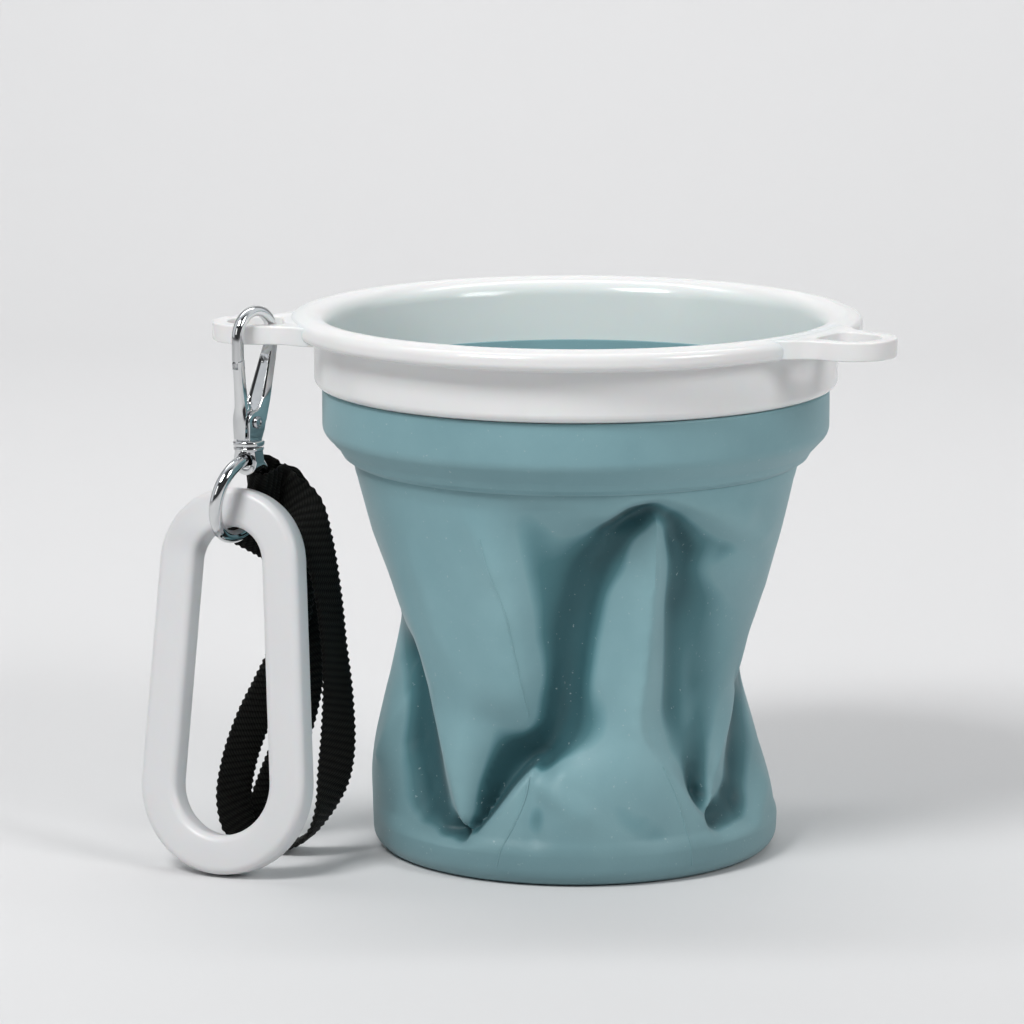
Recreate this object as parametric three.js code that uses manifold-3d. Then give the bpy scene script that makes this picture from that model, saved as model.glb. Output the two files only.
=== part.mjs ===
import * as THREE from 'three';
import { mergeVertices } from 'three/addons/utils/BufferGeometryUtils.js';
import Module from 'manifold-3d';

const wasm = await Module();
wasm.setup();

// Sizes in millimetres. The bowl stands on z = 0 about the z axis and is seen from -y.
const gap = 0.3;

// Rim
const flangeRadius = 75;
const rimTop = 142.2;
const skirtDepth = 19.2;
const rimBottom = rimTop - skirtDepth;
const bandRadius = flangeRadius - 8.5;
const skirtRadius = bandRadius + 2.1;
const mouthRadius = bandRadius - 1.9;
const tongueInner = bandRadius - 2.9;
const tongueOuter = bandRadius - 1.3;
const tongueDepth = 8.8;
const roundSegments = 56;

// Ears of the rim: angles from the +x axis, lengths from the bowl's axis
const earAngles = [187.5, -33.5];
const earTops = [rimTop - 1.2, rimTop - 0.2];
const earHalfWidth = 11.4;
const earStrand = 4;
const earTip = flangeRadius + 20.2;
const earHoleStart = flangeRadius + 1.6;
const earThickness = 4.8;
const earBevel = 1.6;

// Silicone body
const bandInner = bandRadius - 4.3;
const wallTopRadius = bandRadius - 8.2;
const bandDepth = 20;
const wallTopHeight = rimBottom - bandDepth;
const wallFootRadius = wallTopRadius - 4.7;
const wallFootHeight = 8;
const wallThickness = 1.8;
const baseRadius = wallFootRadius - 4.6;
const baseThickness = 2.6;
const wallRows = 16;

// Snap hook: lengths in its own plane, u across and w up from the centre of the bow
const hookTurn = 52;
const bowInner = 5.2;
const bowOuter = 8.1;
const bowThickness = 3;
const bowBevel = 1.2;
const bowSlack = 2.4;
const footThickness = 5.6;
const slotWidth = 3.6;
const rivetU = -2.6;
const rivetW = -21.9;
const rivetRadius = 0.9;
const axisU = -2.7;
const collarRadius = 4.15;
const collarTop = -26.8;
const collarBottom = -28.1;
const postRadius = 1.25;
const headRadius = 1.9;

// Swivel eye, ring and carry link
const eyeTurn = 57;
const eyeHoleRadius = 2.4;
const eyeHoleW = -31.9;
const eyeBar = 1.45;
const eyeThickness = 3.6;
const ringRadius = 10.45;
const ringWire = 1.7;
const ringDrop = new THREE.Vector3(-0.225, 0, -0.974).normalize();
const linkFootOffset = [-6, -18.3];
const linkFootHeight = 0.45;
const linkFaceTurn = -22;
const linkFootRadius = 23.5;
const linkHeadRadius = 19.8;
const linkBar = 10.2;
const linkThickness = 8.4;
const linkBevel = 2;
const linkSlack = 1.05;

// Strap
const strapWidth = 10;
const strapThickness = 1.4;
const strapSteps = 84;

const white = new THREE.MeshStandardMaterial({ color: 0xe4e4e4, roughness: 0.42, metalness: 0 });
const ivory = new THREE.MeshStandardMaterial({ color: 0xd8d8da, roughness: 0.4, metalness: 0 });
const teal = new THREE.MeshStandardMaterial({ color: 0x7fa0aa, roughness: 0.62, metalness: 0 });
const chrome = new THREE.MeshStandardMaterial({ color: 0xd4d6d8, roughness: 0.14, metalness: 1 });
const steel = new THREE.MeshStandardMaterial({ color: 0xa8aaac, roughness: 0.32, metalness: 1 });
const black = new THREE.MeshStandardMaterial({ color: 0x0d0e0a, roughness: 0.85, metalness: 0 });

const radians = THREE.MathUtils.degToRad;

function solidOf(geometry) {
  const bare = geometry.clone();
  bare.deleteAttribute('normal');
  bare.deleteAttribute('uv');
  const merged = mergeVertices(bare, 1e-4);
  const corners = merged.index.array;
  const kept = [];
  for (let i = 0; i < corners.length; i += 3) {
    const [a, b, c] = [corners[i], corners[i + 1], corners[i + 2]];
    if (a !== b && b !== c && c !== a) kept.push(a, b, c);
  }
  const vertProperties = new Float32Array(merged.attributes.position.array);
  const triVerts = new Uint32Array(kept);
  return new wasm.Manifold(new wasm.Mesh({ numProp: 3, vertProperties, triVerts }));
}

function geometryOf(solid) {
  const mesh = solid.getMesh();
  const geometry = new THREE.BufferGeometry();
  geometry.setAttribute('position', new THREE.BufferAttribute(mesh.vertProperties, 3));
  geometry.setIndex(new THREE.BufferAttribute(mesh.triVerts, 1));
  geometry.computeVertexNormals();
  return geometry;
}

// A turned piece about z, with the seam at the front
function turned(profile, segments) {
  const points = profile.map(([r, z]) => new THREE.Vector2(r, z));
  return new THREE.LatheGeometry(points, segments).rotateX(Math.PI / 2);
}

// A flat piece with rounded edges, centred on z = 0
function plate(shape, thickness, bevel, curveSegments = 10, bevelSegments = 2) {
  const geometry = new THREE.ExtrudeGeometry(shape, {
    depth: thickness - 2 * bevel,
    bevelEnabled: bevel > 0,
    bevelThickness: bevel,
    bevelSize: bevel,
    bevelOffset: -bevel,
    bevelSegments,
    curveSegments,
  });
  return geometry.translate(0, 0, bevel - thickness / 2);
}

// The same piece stood up in the u, w plane
function standing(shape, thickness, bevel, curveSegments, bevelSegments) {
  return plate(shape, thickness, bevel, curveSegments, bevelSegments).rotateX(Math.PI / 2);
}

function box(u0, u1, n0, n1, w0, w1) {
  const block = new THREE.BoxGeometry(u1 - u0, n1 - n0, w1 - w0);
  return block.translate((u0 + u1) / 2, (n0 + n1) / 2, (w0 + w1) / 2);
}

function upright(radius, w0, w1, u, segments = 16) {
  const rod = new THREE.CylinderGeometry(radius, radius, w1 - w0, segments);
  return rod.rotateX(Math.PI / 2).translate(u, 0, (w0 + w1) / 2);
}

function crosswise(radius, length, u, w, segments = 14) {
  return new THREE.CylinderGeometry(radius, radius, length, segments).translate(u, 0, w);
}

function named(name, geometry, material) {
  const mesh = new THREE.Mesh(geometry, material);
  mesh.name = name;
  return mesh;
}

const bowl = new THREE.Group();

// Rim: tongue, skirt, rolled flange and the wall of the mouth
const rimProfile = [
  [tongueInner, rimBottom - tongueDepth],
  [tongueOuter, rimBottom - tongueDepth],
  [tongueOuter, rimBottom],
  [bandRadius, rimBottom],
  [bandRadius + 1, rimBottom + 0.6],
  [skirtRadius - 0.3, rimBottom + 2],
  [skirtRadius, rimBottom + 3.5],
  [skirtRadius, rimTop - 7.6],
  [skirtRadius + 0.6, rimTop - 6],
  [skirtRadius + 2, rimTop - 5.2],
  [flangeRadius - 1.8, rimTop - 5.1],
  [flangeRadius - 0.5, rimTop - 4.5],
  [flangeRadius, rimTop - 3.2],
  [flangeRadius - 0.4, rimTop - 1.7],
  [flangeRadius - 1.8, rimTop - 0.6],
  [flangeRadius - 4, rimTop - 0.1],
  [flangeRadius - 6, rimTop],
  [mouthRadius + 2.2, rimTop - 0.5],
  [mouthRadius + 0.7, rimTop - 1.3],
  [mouthRadius, rimTop - 2.6],
  [mouthRadius - 1.6, rimBottom],
  [tongueInner, rimBottom],
  [tongueInner, rimBottom - tongueDepth],
];

const earShape = new THREE.Shape();
const earCentre = earTip - earHalfWidth;
const earRoot = skirtRadius - 1.6;
const earFlare = earHalfWidth + 6.1;
earShape.moveTo(earRoot, 0);
earShape.lineTo(earRoot, -earFlare);
earShape.lineTo(earRoot + 3.5, -earFlare);
earShape.quadraticCurveTo(earHoleStart - 2, -earHalfWidth - 1.2, earCentre - 3, -earHalfWidth);
earShape.lineTo(earCentre, -earHalfWidth);
earShape.absarc(earCentre, 0, earHalfWidth, -Math.PI / 2, Math.PI / 2, false);
earShape.lineTo(earCentre - 3, earHalfWidth);
earShape.quadraticCurveTo(earHoleStart - 2, earHalfWidth + 1.2, earRoot + 3.5, earFlare);
earShape.lineTo(earRoot, earFlare);
const earHole = new THREE.Path();
const holeHalf = earHalfWidth - earStrand;
earHole.moveTo(earCentre, -holeHalf);
earHole.lineTo(earHoleStart + 3, -holeHalf);
earHole.quadraticCurveTo(earHoleStart, -holeHalf, earHoleStart, -holeHalf + 3);
earHole.lineTo(earHoleStart, holeHalf - 3);
earHole.quadraticCurveTo(earHoleStart, holeHalf, earHoleStart + 3, holeHalf);
earHole.lineTo(earCentre, holeHalf);
earHole.absarc(earCentre, 0, holeHalf, Math.PI / 2, -Math.PI / 2, true);
earShape.holes.push(earHole);

let rimSolid = solidOf(turned(rimProfile, roundSegments));
for (const [side, angle] of earAngles.entries()) {
  const ear = plate(earShape, earThickness, earBevel, 8);
  ear.translate(0, 0, earTops[side] - earThickness / 2).rotateZ(radians(angle));
  rimSolid = rimSolid.add(solidOf(ear));
}
bowl.add(named('rim', geometryOf(rimSolid), white));

// Folds of the crumpled wall: angle from the front, plus to the right, height and outer radius.
// They are for a wall of height foldTop and radius foldWall, and follow it when its size differs.
const foldTop = 103;
const foldWall = 58.3;
const folds = {
  leftWall: [[-86, 97, 57], [-86, 84, 53.5], [-85, 71, 48.5], [-80, 64, 46]],
  leftFlapEdge: [
    [-80, 64, 46], [-59, 59, 48], [-49.5, 49.5, 50], [-43.5, 39, 51.6], [-38.5, 27.5, 52.6],
    [-35, 16.5, 52.8], [-31.5, 11, 52.6],
  ],
  tipSlope: [[-32.5, 35, 51.2], [-32.5, 24.5, 50.4], [-32.5, 16, 50.2]],
  leftPocket: [[-72, 53, 41], [-60, 36, 42], [-50, 22, 45], [-41, 11, 49]],
  leftHeelRidge: [[-73, 51, 43], [-74, 38, 50], [-79, 25, 54]],
  leftBack: [[-92, 62, 45.5], [-94, 48, 48.5], [-95, 32, 52], [-95, 20, 54]],
  frontLeftPanel: [[-55, 80, 55], [-48, 60, 53], [-43, 45, 51.5]],
  crease: [[-25, 91.5, 57], [-22, 80, 55.8], [-19, 69.5, 54], [-17, 56.5, 51.8]],
  leftShoulder: [[-19, 100.5, 58], [-25, 91.5, 56.9]],
  archEdge: [
    [7, 97.5, 57], [14, 102, 57.6], [21, 102, 57.9], [33, 99, 57.8], [49.5, 92, 57], [62.5, 87.5, 56.4],
  ],
  middleValleyTop: [[22, 99.5, 53], [16, 96.5, 50], [10, 90, 46.5], [5.5, 81, 43]],
  middleValley: [[5.5, 81, 43], [1.5, 69, 41], [-2, 54, 39.5], [-5, 41, 38.5], [-10, 33.5, 38]],
  tipHollow: [[-10, 33.5, 38], [-17.5, 30.5, 38], [-22.5, 26.5, 39.5], [-29, 19, 42.5], [-33, 12, 48]],
  ridgeEdge: [[22, 99, 55], [22.5, 87.5, 54], [22, 72, 53], [20, 53.5, 52], [18.5, 43, 51], [18, 37.5, 50]],
  rightValleyTop: [[27, 96.5, 52], [34, 85.5, 48], [39.5, 69, 45]],
  rightValley: [[39.5, 69, 45], [45, 49.5, 43], [47.5, 31, 43.5], [45.5, 19.5, 46], [43.5, 15.5, 48]],
  kink: [[18.5, 43, 51], [22, 35, 50.8], [29, 28.5, 50.5]],
  kinkDip: [[21.5, 40, 49.5], [28, 33, 48.8]],
  apronEdge: [[22, 35, 50.8], [30.5, 26.5, 50.8], [38, 18, 51.3], [45.5, 7, 53]],
  rightFlapEdge: [[75, 44, 43.5], [57.5, 32.5, 46], [48, 22.5, 48], [42.5, 15, 49.5]],
  rightPocket: [[81, 40, 41], [68, 26, 43], [60, 15, 47]],
  heelSwell: [[80, 18, 52], [66, 11, 53]],
  rightBack: [[95, 42, 43.5], [96, 30, 48], [95, 18, 51.5], [92, 9, 53]],
  rightWall: [[88, 97, 57], [87, 84, 54], [86, 71, 50.5], [83, 56, 45.5], [76, 45, 43]],
  underAwning: [[32.5, 92.5, 52.5], [44.5, 85.5, 53], [63, 79.5, 52.5]],
  apronLeft: [[-31.5, 10, 52], [-22.5, 19.5, 50.5], [-16, 26.5, 49.3], [-13, 30, 48.3]],
  apronDip: [[-11, 27, 47.5], [-9, 21.5, 50], [-7.5, 16, 52]],
  apronRidge: [[-4.5, 29, 49.5], [7, 23, 52.2], [19.5, 14.5, 53.3]],
};

// The wall is a skin drawn over the folds: their radii are held and the skin between them relaxes
const skinColumns = 180;
const skinRows = 48;
const skinSpan = wallTopHeight - wallFootHeight;
const skin = [];
const held = [];
for (let row = 0; row <= skinRows; row += 1) {
  const share = row / skinRows;
  const moulded = wallFootRadius + (wallTopRadius - wallFootRadius) * share;
  skin.push(new Array(skinColumns).fill(moulded));
  held.push(new Array(skinColumns).fill(row === 0 || row === skinRows));
}

function holdFold(points, toAngle) {
  for (let i = 1; i < points.length; i += 1) {
    const [a0, z0, r0] = points[i - 1];
    const [a1, z1, r1] = points[i];
    const count = Math.ceil(Math.hypot(a1 - a0, z1 - z0) * 2);
    for (let k = 0; k <= count; k += 1) {
      const t = k / count;
      const angle = toAngle(a0 + (a1 - a0) * t);
      const lift = ((z0 + (z1 - z0) * t) * wallTopHeight) / foldTop;
      const height = (lift - wallFootHeight) / skinSpan;
      const turn = Math.round((angle / 360) * skinColumns);
      const column = ((turn % skinColumns) + skinColumns) % skinColumns;
      const row = THREE.MathUtils.clamp(Math.round(height * skinRows), 1, skinRows - 1);
      skin[row][column] = ((r0 + (r1 - r0) * t) * wallTopRadius) / foldWall;
      held[row][column] = true;
    }
  }
}

for (const points of Object.values(folds)) {
  holdFold(points, (angle) => angle);
  const far = points.filter(([angle]) => Math.abs(angle) <= 92);
  if (far.length === points.length) holdFold(far, (angle) => 180 + 0.78 * angle);
}

function around(row, column) {
  const left = skin[row][(column + skinColumns - 1) % skinColumns];
  const right = skin[row][(column + 1) % skinColumns];
  return (left + right + skin[row - 1][column] + skin[row + 1][column]) / 4;
}

for (let pass = 0; pass < 700; pass += 1) {
  for (let row = 1; row < skinRows; row += 1) {
    for (let column = 0; column < skinColumns; column += 1) {
      const pull = 1.7 * (around(row, column) - skin[row][column]);
      if (!held[row][column]) skin[row][column] += pull;
    }
  }
}
for (let pass = 0; pass < 3; pass += 1) {
  for (let row = 1; row < skinRows; row += 1) {
    for (let column = 0; column < skinColumns; column += 1) {
      skin[row][column] = 0.4 * skin[row][column] + 0.6 * around(row, column);
    }
  }
}

function skinRadius(angle, height) {
  const across = (((angle / 360) % 1) + 1) % 1 * skinColumns;
  const up = THREE.MathUtils.clamp((height - wallFootHeight) / skinSpan, 0, 1) * skinRows;
  const column = Math.floor(across) % skinColumns;
  const row = Math.min(Math.floor(up), skinRows - 1);
  const next = (column + 1) % skinColumns;
  const low = THREE.MathUtils.lerp(skin[row][column], skin[row][next], across % 1);
  const high = THREE.MathUtils.lerp(skin[row + 1][column], skin[row + 1][next], across % 1);
  return THREE.MathUtils.lerp(low, high, up - row);
}

// Silicone body: flat base, heel, crumpled wall, and the band with the channel round the tongue
const channelFloor = rimBottom - tongueDepth - gap;
const bandTop = rimBottom - gap;
const outerWall = [];
const innerWall = [];
for (let row = 0; row <= wallRows; row += 1) {
  const share = row / wallRows;
  const height = wallFootHeight + skinSpan * share;
  const radius = wallFootRadius + (wallTopRadius - wallFootRadius) * share;
  outerWall.push([radius, height]);
  innerWall.unshift([radius - wallThickness, height]);
}
const siliconeProfile = [
  [0, 0],
  [baseRadius * 0.6, 0],
  [baseRadius, 0],
  [wallFootRadius - 2.2, 0.6],
  [wallFootRadius - 0.8, 2.2],
  [wallFootRadius - 0.2, 4.8],
  ...outerWall,
  [wallTopRadius + 0.9, wallTopHeight + 0.5],
  [bandRadius - 6, wallTopHeight + 1.4],
  [bandRadius - 4, wallTopHeight + 3.5],
  [bandRadius - 1.7, wallTopHeight + 5.8],
  [bandRadius - 0.4, wallTopHeight + 7.8],
  [bandRadius, wallTopHeight + 10],
  [bandRadius, bandTop],
  [tongueOuter + gap, bandTop],
  [tongueOuter + gap, channelFloor],
  [tongueInner - gap, channelFloor],
  [tongueInner - gap, bandTop],
  [bandInner, bandTop],
  [bandInner, wallTopHeight + 10.5],
  [bandInner - 0.6, wallTopHeight + 7.5],
  [bandInner - 2.7, wallTopHeight + 4.5],
  [wallTopRadius - 1.1, wallTopHeight + 2],
  ...innerWall,
  [wallFootRadius - wallThickness - 0.6, 5.4],
  [wallFootRadius - wallThickness - 2.6, 3.3],
  [wallFootRadius - wallThickness - 5.4, baseThickness],
  [baseRadius * 0.6, baseThickness],
  [0, baseThickness],
];
const silicone = turned(siliconeProfile, roundSegments);
const place = silicone.attributes.position;
const rowCount = siliconeProfile.length;
for (let i = 0; i < place.count; i += 1) {
  const [radius, height] = siliconeProfile[i % rowCount];
  const inWall = radius > baseRadius * 0.8 && height > wallFootHeight && height < wallTopHeight;
  if (inWall) {
    const angle = (Math.floor(i / rowCount) / roundSegments) * 360;
    const share = (height - wallFootHeight) / skinSpan;
    const moulded = THREE.MathUtils.lerp(wallFootRadius, wallTopRadius, share);
    const inside = radius < moulded - 0.5;
    const folded = skinRadius(angle, height) - (inside ? wallThickness : 0);
    place.setXY(i, folded * Math.sin(radians(angle)), -folded * Math.cos(radians(angle)));
  }
}
silicone.computeVertexNormals();
bowl.add(named('silicone_body', silicone, teal));

// Snap hook, hung on the front strand of the left ear
const earAngle = radians(earAngles[0]);
const strandSide = earHalfWidth - earStrand / 2;
const strandReach = earCentre + 1;
const strandX = strandReach * Math.cos(earAngle) - strandSide * Math.sin(earAngle);
const strandY = strandReach * Math.sin(earAngle) + strandSide * Math.cos(earAngle);
const bowCentre = earTops[0] + bowSlack - bowInner;
const hook = new THREE.Group();
hook.position.set(strandX, strandY, bowCentre);
hook.rotation.z = radians(hookTurn);
bowl.add(hook);

const noseEnd = -4.9;
const cheekRadius = 3;
const spineFoot = rivetW - 3;
const bowShape = new THREE.Shape();
bowShape.moveTo(-(bowOuter + bowInner) / 2, noseEnd);
bowShape.lineTo(-bowOuter, noseEnd);
bowShape.lineTo(-bowOuter, 0);
bowShape.absarc(0, 0, bowOuter, Math.PI, 0, true);
bowShape.lineTo(bowOuter, -1);
bowShape.lineTo(0.5, spineFoot);
bowShape.lineTo(0.2, collarTop);
bowShape.lineTo(rivetU - cheekRadius, collarTop);
bowShape.lineTo(rivetU - cheekRadius, rivetW);
bowShape.absarc(rivetU, rivetW, cheekRadius, Math.PI, Math.PI / 3, true);
bowShape.lineTo(bowInner, -1);
bowShape.lineTo(bowInner, 0);
bowShape.absarc(0, 0, bowInner, 0, Math.PI, false);
bowShape.lineTo(-bowInner, noseEnd);

const footShape = new THREE.Shape();
footShape.moveTo(rivetU, collarTop);
footShape.lineTo(rivetU - cheekRadius, collarTop);
footShape.lineTo(rivetU - cheekRadius, rivetW);
footShape.absarc(rivetU, rivetW, cheekRadius, Math.PI, 0, true);
footShape.lineTo(0.2, collarTop);

const slot = slotWidth / 2;
const slotFloor = rivetW - cheekRadius + 0.4;
let hookSolid = solidOf(standing(bowShape, bowThickness, bowBevel, 10));
hookSolid = hookSolid.add(solidOf(standing(footShape, footThickness, 0.5, 8, 1)));
hookSolid = hookSolid.add(solidOf(upright(collarRadius, collarBottom, collarTop + 0.4, axisU, 24)));
const noseTab = box(-bowOuter + 0.8, -bowInner - 0.5, -0.7, 0.7, noseEnd - 1.6, noseEnd + 1.4);
hookSolid = hookSolid.add(solidOf(noseTab));
hookSolid = hookSolid.subtract(solidOf(box(-9, 0.3, -slot, slot, slotFloor, rivetW + cheekRadius + 2)));
hookSolid = hookSolid.subtract(solidOf(upright(postRadius + gap, collarBottom - 1, collarTop + 1, axisU)));
hookSolid = hookSolid.subtract(solidOf(upright(headRadius + gap, collarTop + 0.35, slotFloor + 0.5, axisU)));
hookSolid = hookSolid.subtract(solidOf(crosswise(rivetRadius + gap, 2 * footThickness, rivetU, rivetW)));
hook.add(named('hook_body', geometryOf(hookSolid), chrome));

// Gate: a folded lever whose tail turns on the rivet, notched for the tab of the nose. Its top is an arc
// about the rivet, and a cover runs down in front of the fork.
const gateReach = noseEnd - gap - 0.05 - rivetW;
const gateThickness = slotWidth - 2 * gap;
const gateOuter = -bowOuter + 0.2;
const gateInner = -bowInner + 0.1;
const coverInner = rivetU - cheekRadius - gap;
const coverOuter = coverInner - 0.8;
const leverInner = rivetU - 1.3;
const tailRadius = 2.3;
const tailLeft = -1.4;
const tailRight = -0.1;

function gateTop(u) {
  return rivetW + Math.sqrt(gateReach ** 2 - (u - rivetU) ** 2);
}

const leverShape = new THREE.Shape();
leverShape.moveTo((gateOuter + gateInner) / 2, gateTop((gateOuter + gateInner) / 2));
leverShape.lineTo(gateInner, gateTop(gateInner));
leverShape.lineTo(leverInner, rivetW + 4.5);
leverShape.lineTo(leverInner, rivetW + 1.5);
leverShape.lineTo(coverInner, rivetW + 1.5);
leverShape.lineTo(coverInner, collarTop + 0.6);
leverShape.lineTo(coverOuter, collarTop + 0.6);
leverShape.lineTo(coverOuter, rivetW + 1.5);
leverShape.lineTo(gateOuter, gateTop(gateOuter));
const tailShape = new THREE.Shape();
tailShape.moveTo(coverInner + 0.2, rivetW + 5.5);
tailShape.lineTo(rivetU - tailRadius, rivetW);
tailShape.absarc(rivetU, rivetW, tailRadius, Math.PI, Math.PI * 2, false);
tailShape.lineTo(leverInner - 0.2, rivetW + 5.5);
const tail = standing(tailShape, tailRight - tailLeft, 0, 8).translate(0, (tailLeft + tailRight) / 2, 0);
const legRoom = box(coverInner, 0, tailLeft + 0.5, 0.9, rivetW - 1, rivetW + 6.4);
const notch = box(-bowOuter - 1, 0, -1.05, 1.05, noseEnd - 3, 0);
let gateSolid = solidOf(standing(leverShape, gateThickness, 0));
gateSolid = gateSolid.subtract(solidOf(crosswise(cheekRadius - 0.4, 2 * footThickness, rivetU, rivetW, 24)));
gateSolid = gateSolid.subtract(solidOf(legRoom));
gateSolid = gateSolid.add(solidOf(tail));
gateSolid = gateSolid.subtract(solidOf(notch));
gateSolid = gateSolid.subtract(solidOf(crosswise(rivetRadius + gap, 2 * footThickness, rivetU, rivetW)));
hook.add(named('hook_gate', geometryOf(gateSolid), chrome));

// Rivet with a head on each cheek
const headFace = footThickness / 2 + 0.25;
const rivetProfile = [
  [0, -headFace - 0.7],
  [1.2, -headFace - 0.6],
  [1.6, -headFace - 0.2],
  [1.6, -headFace],
  [rivetRadius, -headFace],
  [rivetRadius, headFace],
  [1.6, headFace],
  [1.6, headFace + 0.2],
  [1.2, headFace + 0.6],
  [0, headFace + 0.7],
];
const rivet = turned(rivetProfile, 16).rotateX(Math.PI / 2).translate(rivetU, 0, rivetW);
hook.add(named('gate_rivet', rivet, steel));

// Torsion spring in the fork beside the tail: one coil round the rivet with a leg up the lever
class SpringLine extends THREE.Curve {
  getPoint(t, target = new THREE.Vector3()) {
    const coil = 1.7;
    if (t < 0.25) {
      const along = t / 0.25;
      return target.set(rivetU - coil, 0.45, rivetW + 5.2 * (1 - along));
    }
    if (t < 0.85) {
      const turn = ((t - 0.25) / 0.6) * Math.PI * 2;
      const side = 0.45 + 0.85 * ((t - 0.25) / 0.6);
      return target.set(rivetU - coil * Math.cos(turn), side, rivetW - coil * Math.sin(turn));
    }
    const along = (t - 0.85) / 0.15;
    return target.set(rivetU - coil, 1.3, rivetW - 1.5 * along);
  }
}
const wire = new THREE.Shape().absarc(0, 0, 0.2, 0, Math.PI * 2, false);
const spring = new THREE.ExtrudeGeometry(wire, {
  steps: 36,
  curveSegments: 3,
  bevelEnabled: false,
  extrudePath: new SpringLine(),
});
hook.add(named('gate_spring', spring, steel));

// Swivel eye: post and head in the collar, disc, and the loop that holds the ring
const swivel = new THREE.Group();
const axisX = strandX + axisU * Math.cos(radians(hookTurn));
const axisY = strandY + axisU * Math.sin(radians(hookTurn));
swivel.position.set(axisX, axisY, bowCentre);
swivel.rotation.z = radians(eyeTurn);
bowl.add(swivel);

const discTop = collarBottom - gap;
const headFoot = collarTop + 0.65;
const stemProfile = [
  [0, discTop - 1],
  [3.7, discTop - 1],
  [4, discTop - 0.7],
  [4, discTop - 0.3],
  [3.7, discTop],
  [postRadius, discTop],
  [postRadius, headFoot],
  [headRadius, headFoot],
  [headRadius, headFoot + 0.5],
  [headRadius - 0.5, headFoot + 0.8],
  [0, headFoot + 0.9],
];
const eyeHalf = 3.7;
const eyeFoot = eyeHoleW - eyeHoleRadius - eyeBar + eyeHalf;
const eyeShape = new THREE.Shape();
eyeShape.moveTo(0, discTop - 0.6);
eyeShape.lineTo(-eyeHalf, discTop - 0.6);
eyeShape.lineTo(-eyeHalf, eyeFoot);
eyeShape.absarc(0, eyeFoot, eyeHalf, Math.PI, Math.PI * 2, false);
eyeShape.lineTo(eyeHalf, discTop - 0.6);
const loop = standing(eyeShape, eyeThickness, 0.4, 8, 1).rotateZ(Math.PI / 2);
const loopHole = crosswise(eyeHoleRadius, 4 * eyeThickness, 0, eyeHoleW, 20).rotateZ(Math.PI / 2);
const eyeSolid = solidOf(turned(stemProfile, 20)).add(solidOf(loop)).subtract(solidOf(loopHole));
swivel.add(named('swivel_eye', geometryOf(eyeSolid), chrome));

// Ring: leans from the eye towards the carry link
const ringTop = new THREE.Vector3(axisX, axisY, bowCentre + eyeHoleW - eyeHoleRadius + 0.75 + ringWire);
const eyeWay = new THREE.Vector3(Math.cos(radians(eyeTurn)), Math.sin(radians(eyeTurn)), 0);
const ringUp = ringDrop.clone().negate();
const ringAcross = eyeWay.clone().addScaledVector(ringUp, -eyeWay.dot(ringUp)).normalize();
const ringNormal = new THREE.Vector3().crossVectors(ringAcross, ringUp);
const ringCentre = ringTop.clone().addScaledVector(ringDrop, ringRadius);
const ring = named('ring', new THREE.TorusGeometry(ringRadius, ringWire, 10, 40), chrome);
ring.matrixAutoUpdate = false;
ring.matrix.makeBasis(ringAcross, ringUp, ringNormal).setPosition(ringCentre);
bowl.add(ring);

// Carry link: a tapered loop that hangs on the ring and stands on its foot
const linkFoot = new THREE.Vector3(axisX + linkFootOffset[0], axisY + linkFootOffset[1], linkFootHeight);
const ringFoot = ringCentre.clone().addScaledVector(ringDrop, ringRadius);
const linkInner = ringFoot.clone().addScaledVector(ringUp, ringWire + linkSlack);
const linkUp = linkInner.clone().sub(linkFoot).normalize();
const linkLength = linkInner.distanceTo(linkFoot) + linkBar;
const faceTurn = radians(linkFaceTurn);
const linkFace = new THREE.Vector3(Math.sin(faceTurn), -Math.cos(faceTurn), 0);
linkFace.addScaledVector(linkUp, -linkFace.dot(linkUp)).normalize();
const linkAcross = new THREE.Vector3().crossVectors(linkUp, linkFace);
const linkSpan = linkLength - linkFootRadius - linkHeadRadius;
const taper = Math.asin((linkFootRadius - linkHeadRadius) / linkSpan);

function linkOutline(path, inset, clockwise) {
  const foot = linkFootRadius - inset;
  const head = linkHeadRadius - inset;
  const headCentre = linkLength - linkHeadRadius;
  if (clockwise) {
    path.absarc(0, headCentre, head, Math.PI - taper, taper, true);
    path.absarc(0, linkFootRadius, foot, taper, Math.PI - taper, true);
  } else {
    path.absarc(0, linkFootRadius, foot, Math.PI - taper, taper, false);
    path.absarc(0, headCentre, head, taper, Math.PI - taper, false);
  }
  return path;
}

const linkShape = linkOutline(new THREE.Shape(), 0, false);
linkShape.holes.push(linkOutline(new THREE.Path(), linkBar, true));
const link = named('carry_link', plate(linkShape, linkThickness, linkBevel, 14, 3), ivory);
link.matrixAutoUpdate = false;
link.matrix.makeBasis(linkAcross, linkUp, linkFace).setPosition(linkFoot);
bowl.add(link);

// Strap: webbing looped round the back of the ring. It starts behind the wire, runs down and back up,
// and ends round the wire where it started. Each stop is x, y, z and the direction of the width, for a
// ring centred on strapHome, and follows the ring.
const strapHome = [-86.86, -18.5, 95.67];
const wrapTurn = radians(20);
const wrapOut = ringAcross.clone().applyAxisAngle(ringNormal, wrapTurn);
const wrapAlong = ringUp.clone().applyAxisAngle(ringNormal, wrapTurn);
const wrapReach = ringWire + gap + strapThickness / 2 + 0.25;
const wrapCup = strapWidth ** 2 / (8 * ringRadius) + 0.2;

function wrapStop(out, side, rise = 0) {
  const stop = ringCentre.clone().addScaledVector(wrapOut, ringRadius + out);
  stop.addScaledVector(ringNormal, side);
  stop.addScaledVector(wrapAlong, rise);
  return [...stop.toArray(), ...wrapAlong.toArray()];
}

function follow([x, y, z, ...width]) {
  const across = ringCentre.x - strapHome[0];
  const deep = ringCentre.y - strapHome[1];
  return [x + across, y + deep, (z * ringCentre.z) / strapHome[2], ...width];
}

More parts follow.
